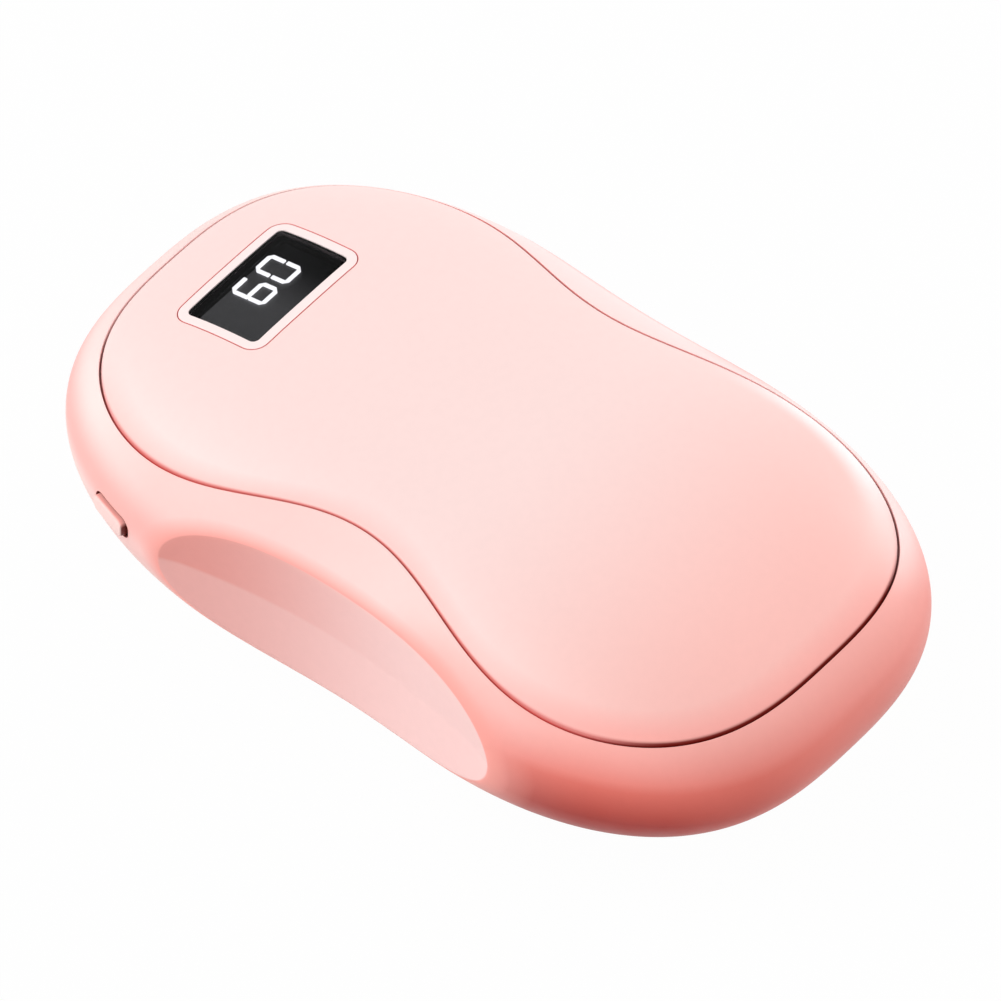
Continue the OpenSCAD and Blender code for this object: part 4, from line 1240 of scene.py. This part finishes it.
class WARMER_OT_studio(bpy.types.Operator):
    """Set up the pale floor, the soft light and the camera at the photograph's angle"""

    bl_idname = "hand_warmer.studio"
    bl_label = "Studio"

    def execute(self, context):
        f = settings().finish
        floor = new_object("floor")
        half, drop = 3.0, 0.05 * MM
        corners = [(x * half, y * half, -drop) for x, y in ((-1, -1), (1, -1), (1, 1), (-1, 1))]
        floor.data.from_pydata(corners, [], [(0, 1, 2, 3)])
        floor.data.materials.append(floor_look())
        world = bpy.data.worlds.new("studio")
        context.scene.world = world
        world.use_nodes = True
        tree = world.node_tree
        levels = {"Value": plain_rays(tree), "To Min": f.world_strength, "To Max": 1.0}
        background = tree.nodes["Background"].inputs
        feed(background["Strength"], added(tree, "ShaderNodeMapRange", levels).outputs[0])
        feed(background["Color"], (1, 1, 1, 1))
        lamp("key", (-0.42, 0.4, 0.56), 0.6, f.key_power)
        lamp("fill", (0.75, -0.22, 0.24), 0.45, f.fill_power)
        lamp("front", (-0.66, -0.4, 0.34), 0.45, f.front_power)
        lamp("rim", (-0.12, 0.9, 0.12), 0.4, f.rim_power)
        camera()
        context.scene.view_settings.view_transform = "Standard"
        return {"FINISHED"}


def plain_rays(tree):
    """1 for the rays that see a plain white studio: the camera's, and those off gloss and through glass."""
    rays = added(tree, "ShaderNodeLightPath").outputs
    total = rays["Is Camera Ray"]
    for name in ("Is Glossy Ray", "Is Transmission Ray"):
        both = {0: total, 1: rays[name]}
        total = added(tree, "ShaderNodeMath", both, operation="ADD", use_clamp=True).outputs[0]
    return total


def floor_look():
    """A white floor that keeps the object's soft shadow."""
    look = Look("floor_white", (0.68, 0.68, 0.68), 0.9)
    white, own_light = look.add("ShaderNodeEmission"), 0.98
    share = look.paired("MULTIPLY", plain_rays(look.tree), own_light)
    blend = look.add("ShaderNodeMixShader", {0: share, 1: look.shader.outputs[0], 2: white.outputs[0]})
    feed(look.tree.nodes["Material Output"].inputs["Surface"], blend.outputs[0])
    return look.material


def lamp(name, where, size, power):
    """A square soft lamp that looks at the object and isn't seen itself."""
    light = bpy.data.lights.new(name, "AREA")
    light.size, light.energy = size, power
    piece = new_object(name, light)
    piece.location = where
    aim = Vector((0, 0, 15 * MM)) - Vector(where)
    piece.rotation_euler = aim.to_track_quat("-Z", "Y").to_euler()
    piece.visible_camera = False


def camera():
    """The camera that the photograph's outline, seam and window were fitted with."""
    azimuth, elevation, distance = math.radians(-50.5868), math.radians(48.7076), 1.9934
    aim = Vector((0, 0, 16.1 * MM))
    right = Vector((math.cos(azimuth), math.sin(azimuth), 0))
    ahead = Vector((math.sin(azimuth), -math.cos(azimuth), 0))
    back = ahead * math.cos(elevation) + Vector((0, 0, math.sin(elevation)))
    data = bpy.data.cameras.new("camera")
    data.sensor_width, data.lens = 36.0, 614.28
    data.shift_x, data.shift_y = 0.0049, 0.0059
    data.clip_start, data.clip_end = 0.1, 20.0
    piece = new_object("camera", data)
    turn = Matrix((right, back.cross(right), back)).transposed()
    piece.matrix_world = Matrix.Translation(aim + back * distance) @ turn.to_4x4()
    bpy.context.scene.camera = piece


class WARMER_PT_panel(bpy.types.Panel):
    """Lists what builds the hand warmer"""

    bl_idname = "WARMER_PT_panel"
    bl_label = "Hand warmer"
    bl_space_type = "VIEW_3D"
    bl_region_type = "UI"
    bl_category = "Hand warmer"

    def draw(self, context):
        for operator in STEPS:
            self.layout.operator(operator.bl_idname)
        for name in ("body", "seam", "display", "button", "finish"):
            group = getattr(context.scene.hand_warmer, name)
            box = self.layout.box()
            for key in type(group).__annotations__:
                box.prop(group, key)


class WarmerSettings(bpy.types.PropertyGroup):
    """All settings of the hand warmer."""

    body: PointerProperty(type=WarmerBody, name="Body", description="Sizes of the pebble")
    seam: PointerProperty(type=WarmerSeam, name="Seam", description="Sizes of the groove and ledge")
    display: PointerProperty(type=WarmerDisplay, name="Display", description="Sizes of the display")
    button: PointerProperty(type=WarmerButton, name="Button", description="Sizes of the button and port")
    finish: PointerProperty(type=WarmerFinish, name="Finish", description="Colours and light")


GROUPS = (WarmerBody, WarmerSeam, WarmerDisplay, WarmerButton, WarmerFinish, WarmerSettings)
STEPS = (
    WARMER_OT_covers, WARMER_OT_frame, WARMER_OT_display, WARMER_OT_button, WARMER_OT_port,
    WARMER_OT_inside, WARMER_OT_studio,
)


def register():
    for item in (*GROUPS, *STEPS, WARMER_PT_panel):
        bpy.utils.register_class(item)
    bpy.types.Scene.hand_warmer = PointerProperty(type=WarmerSettings)


def unregister():
    del bpy.types.Scene.hand_warmer
    for item in reversed((*GROUPS, *STEPS, WARMER_PT_panel)):
        bpy.utils.unregister_class(item)


def main():
    register()
    bpy.ops.hand_warmer.covers()
    bpy.ops.hand_warmer.frame()
    bpy.ops.hand_warmer.display()
    bpy.ops.hand_warmer.button()
    bpy.ops.hand_warmer.port()
    bpy.ops.hand_warmer.inside()
    bpy.ops.hand_warmer.studio()


if __name__ == "__main__":
    main()
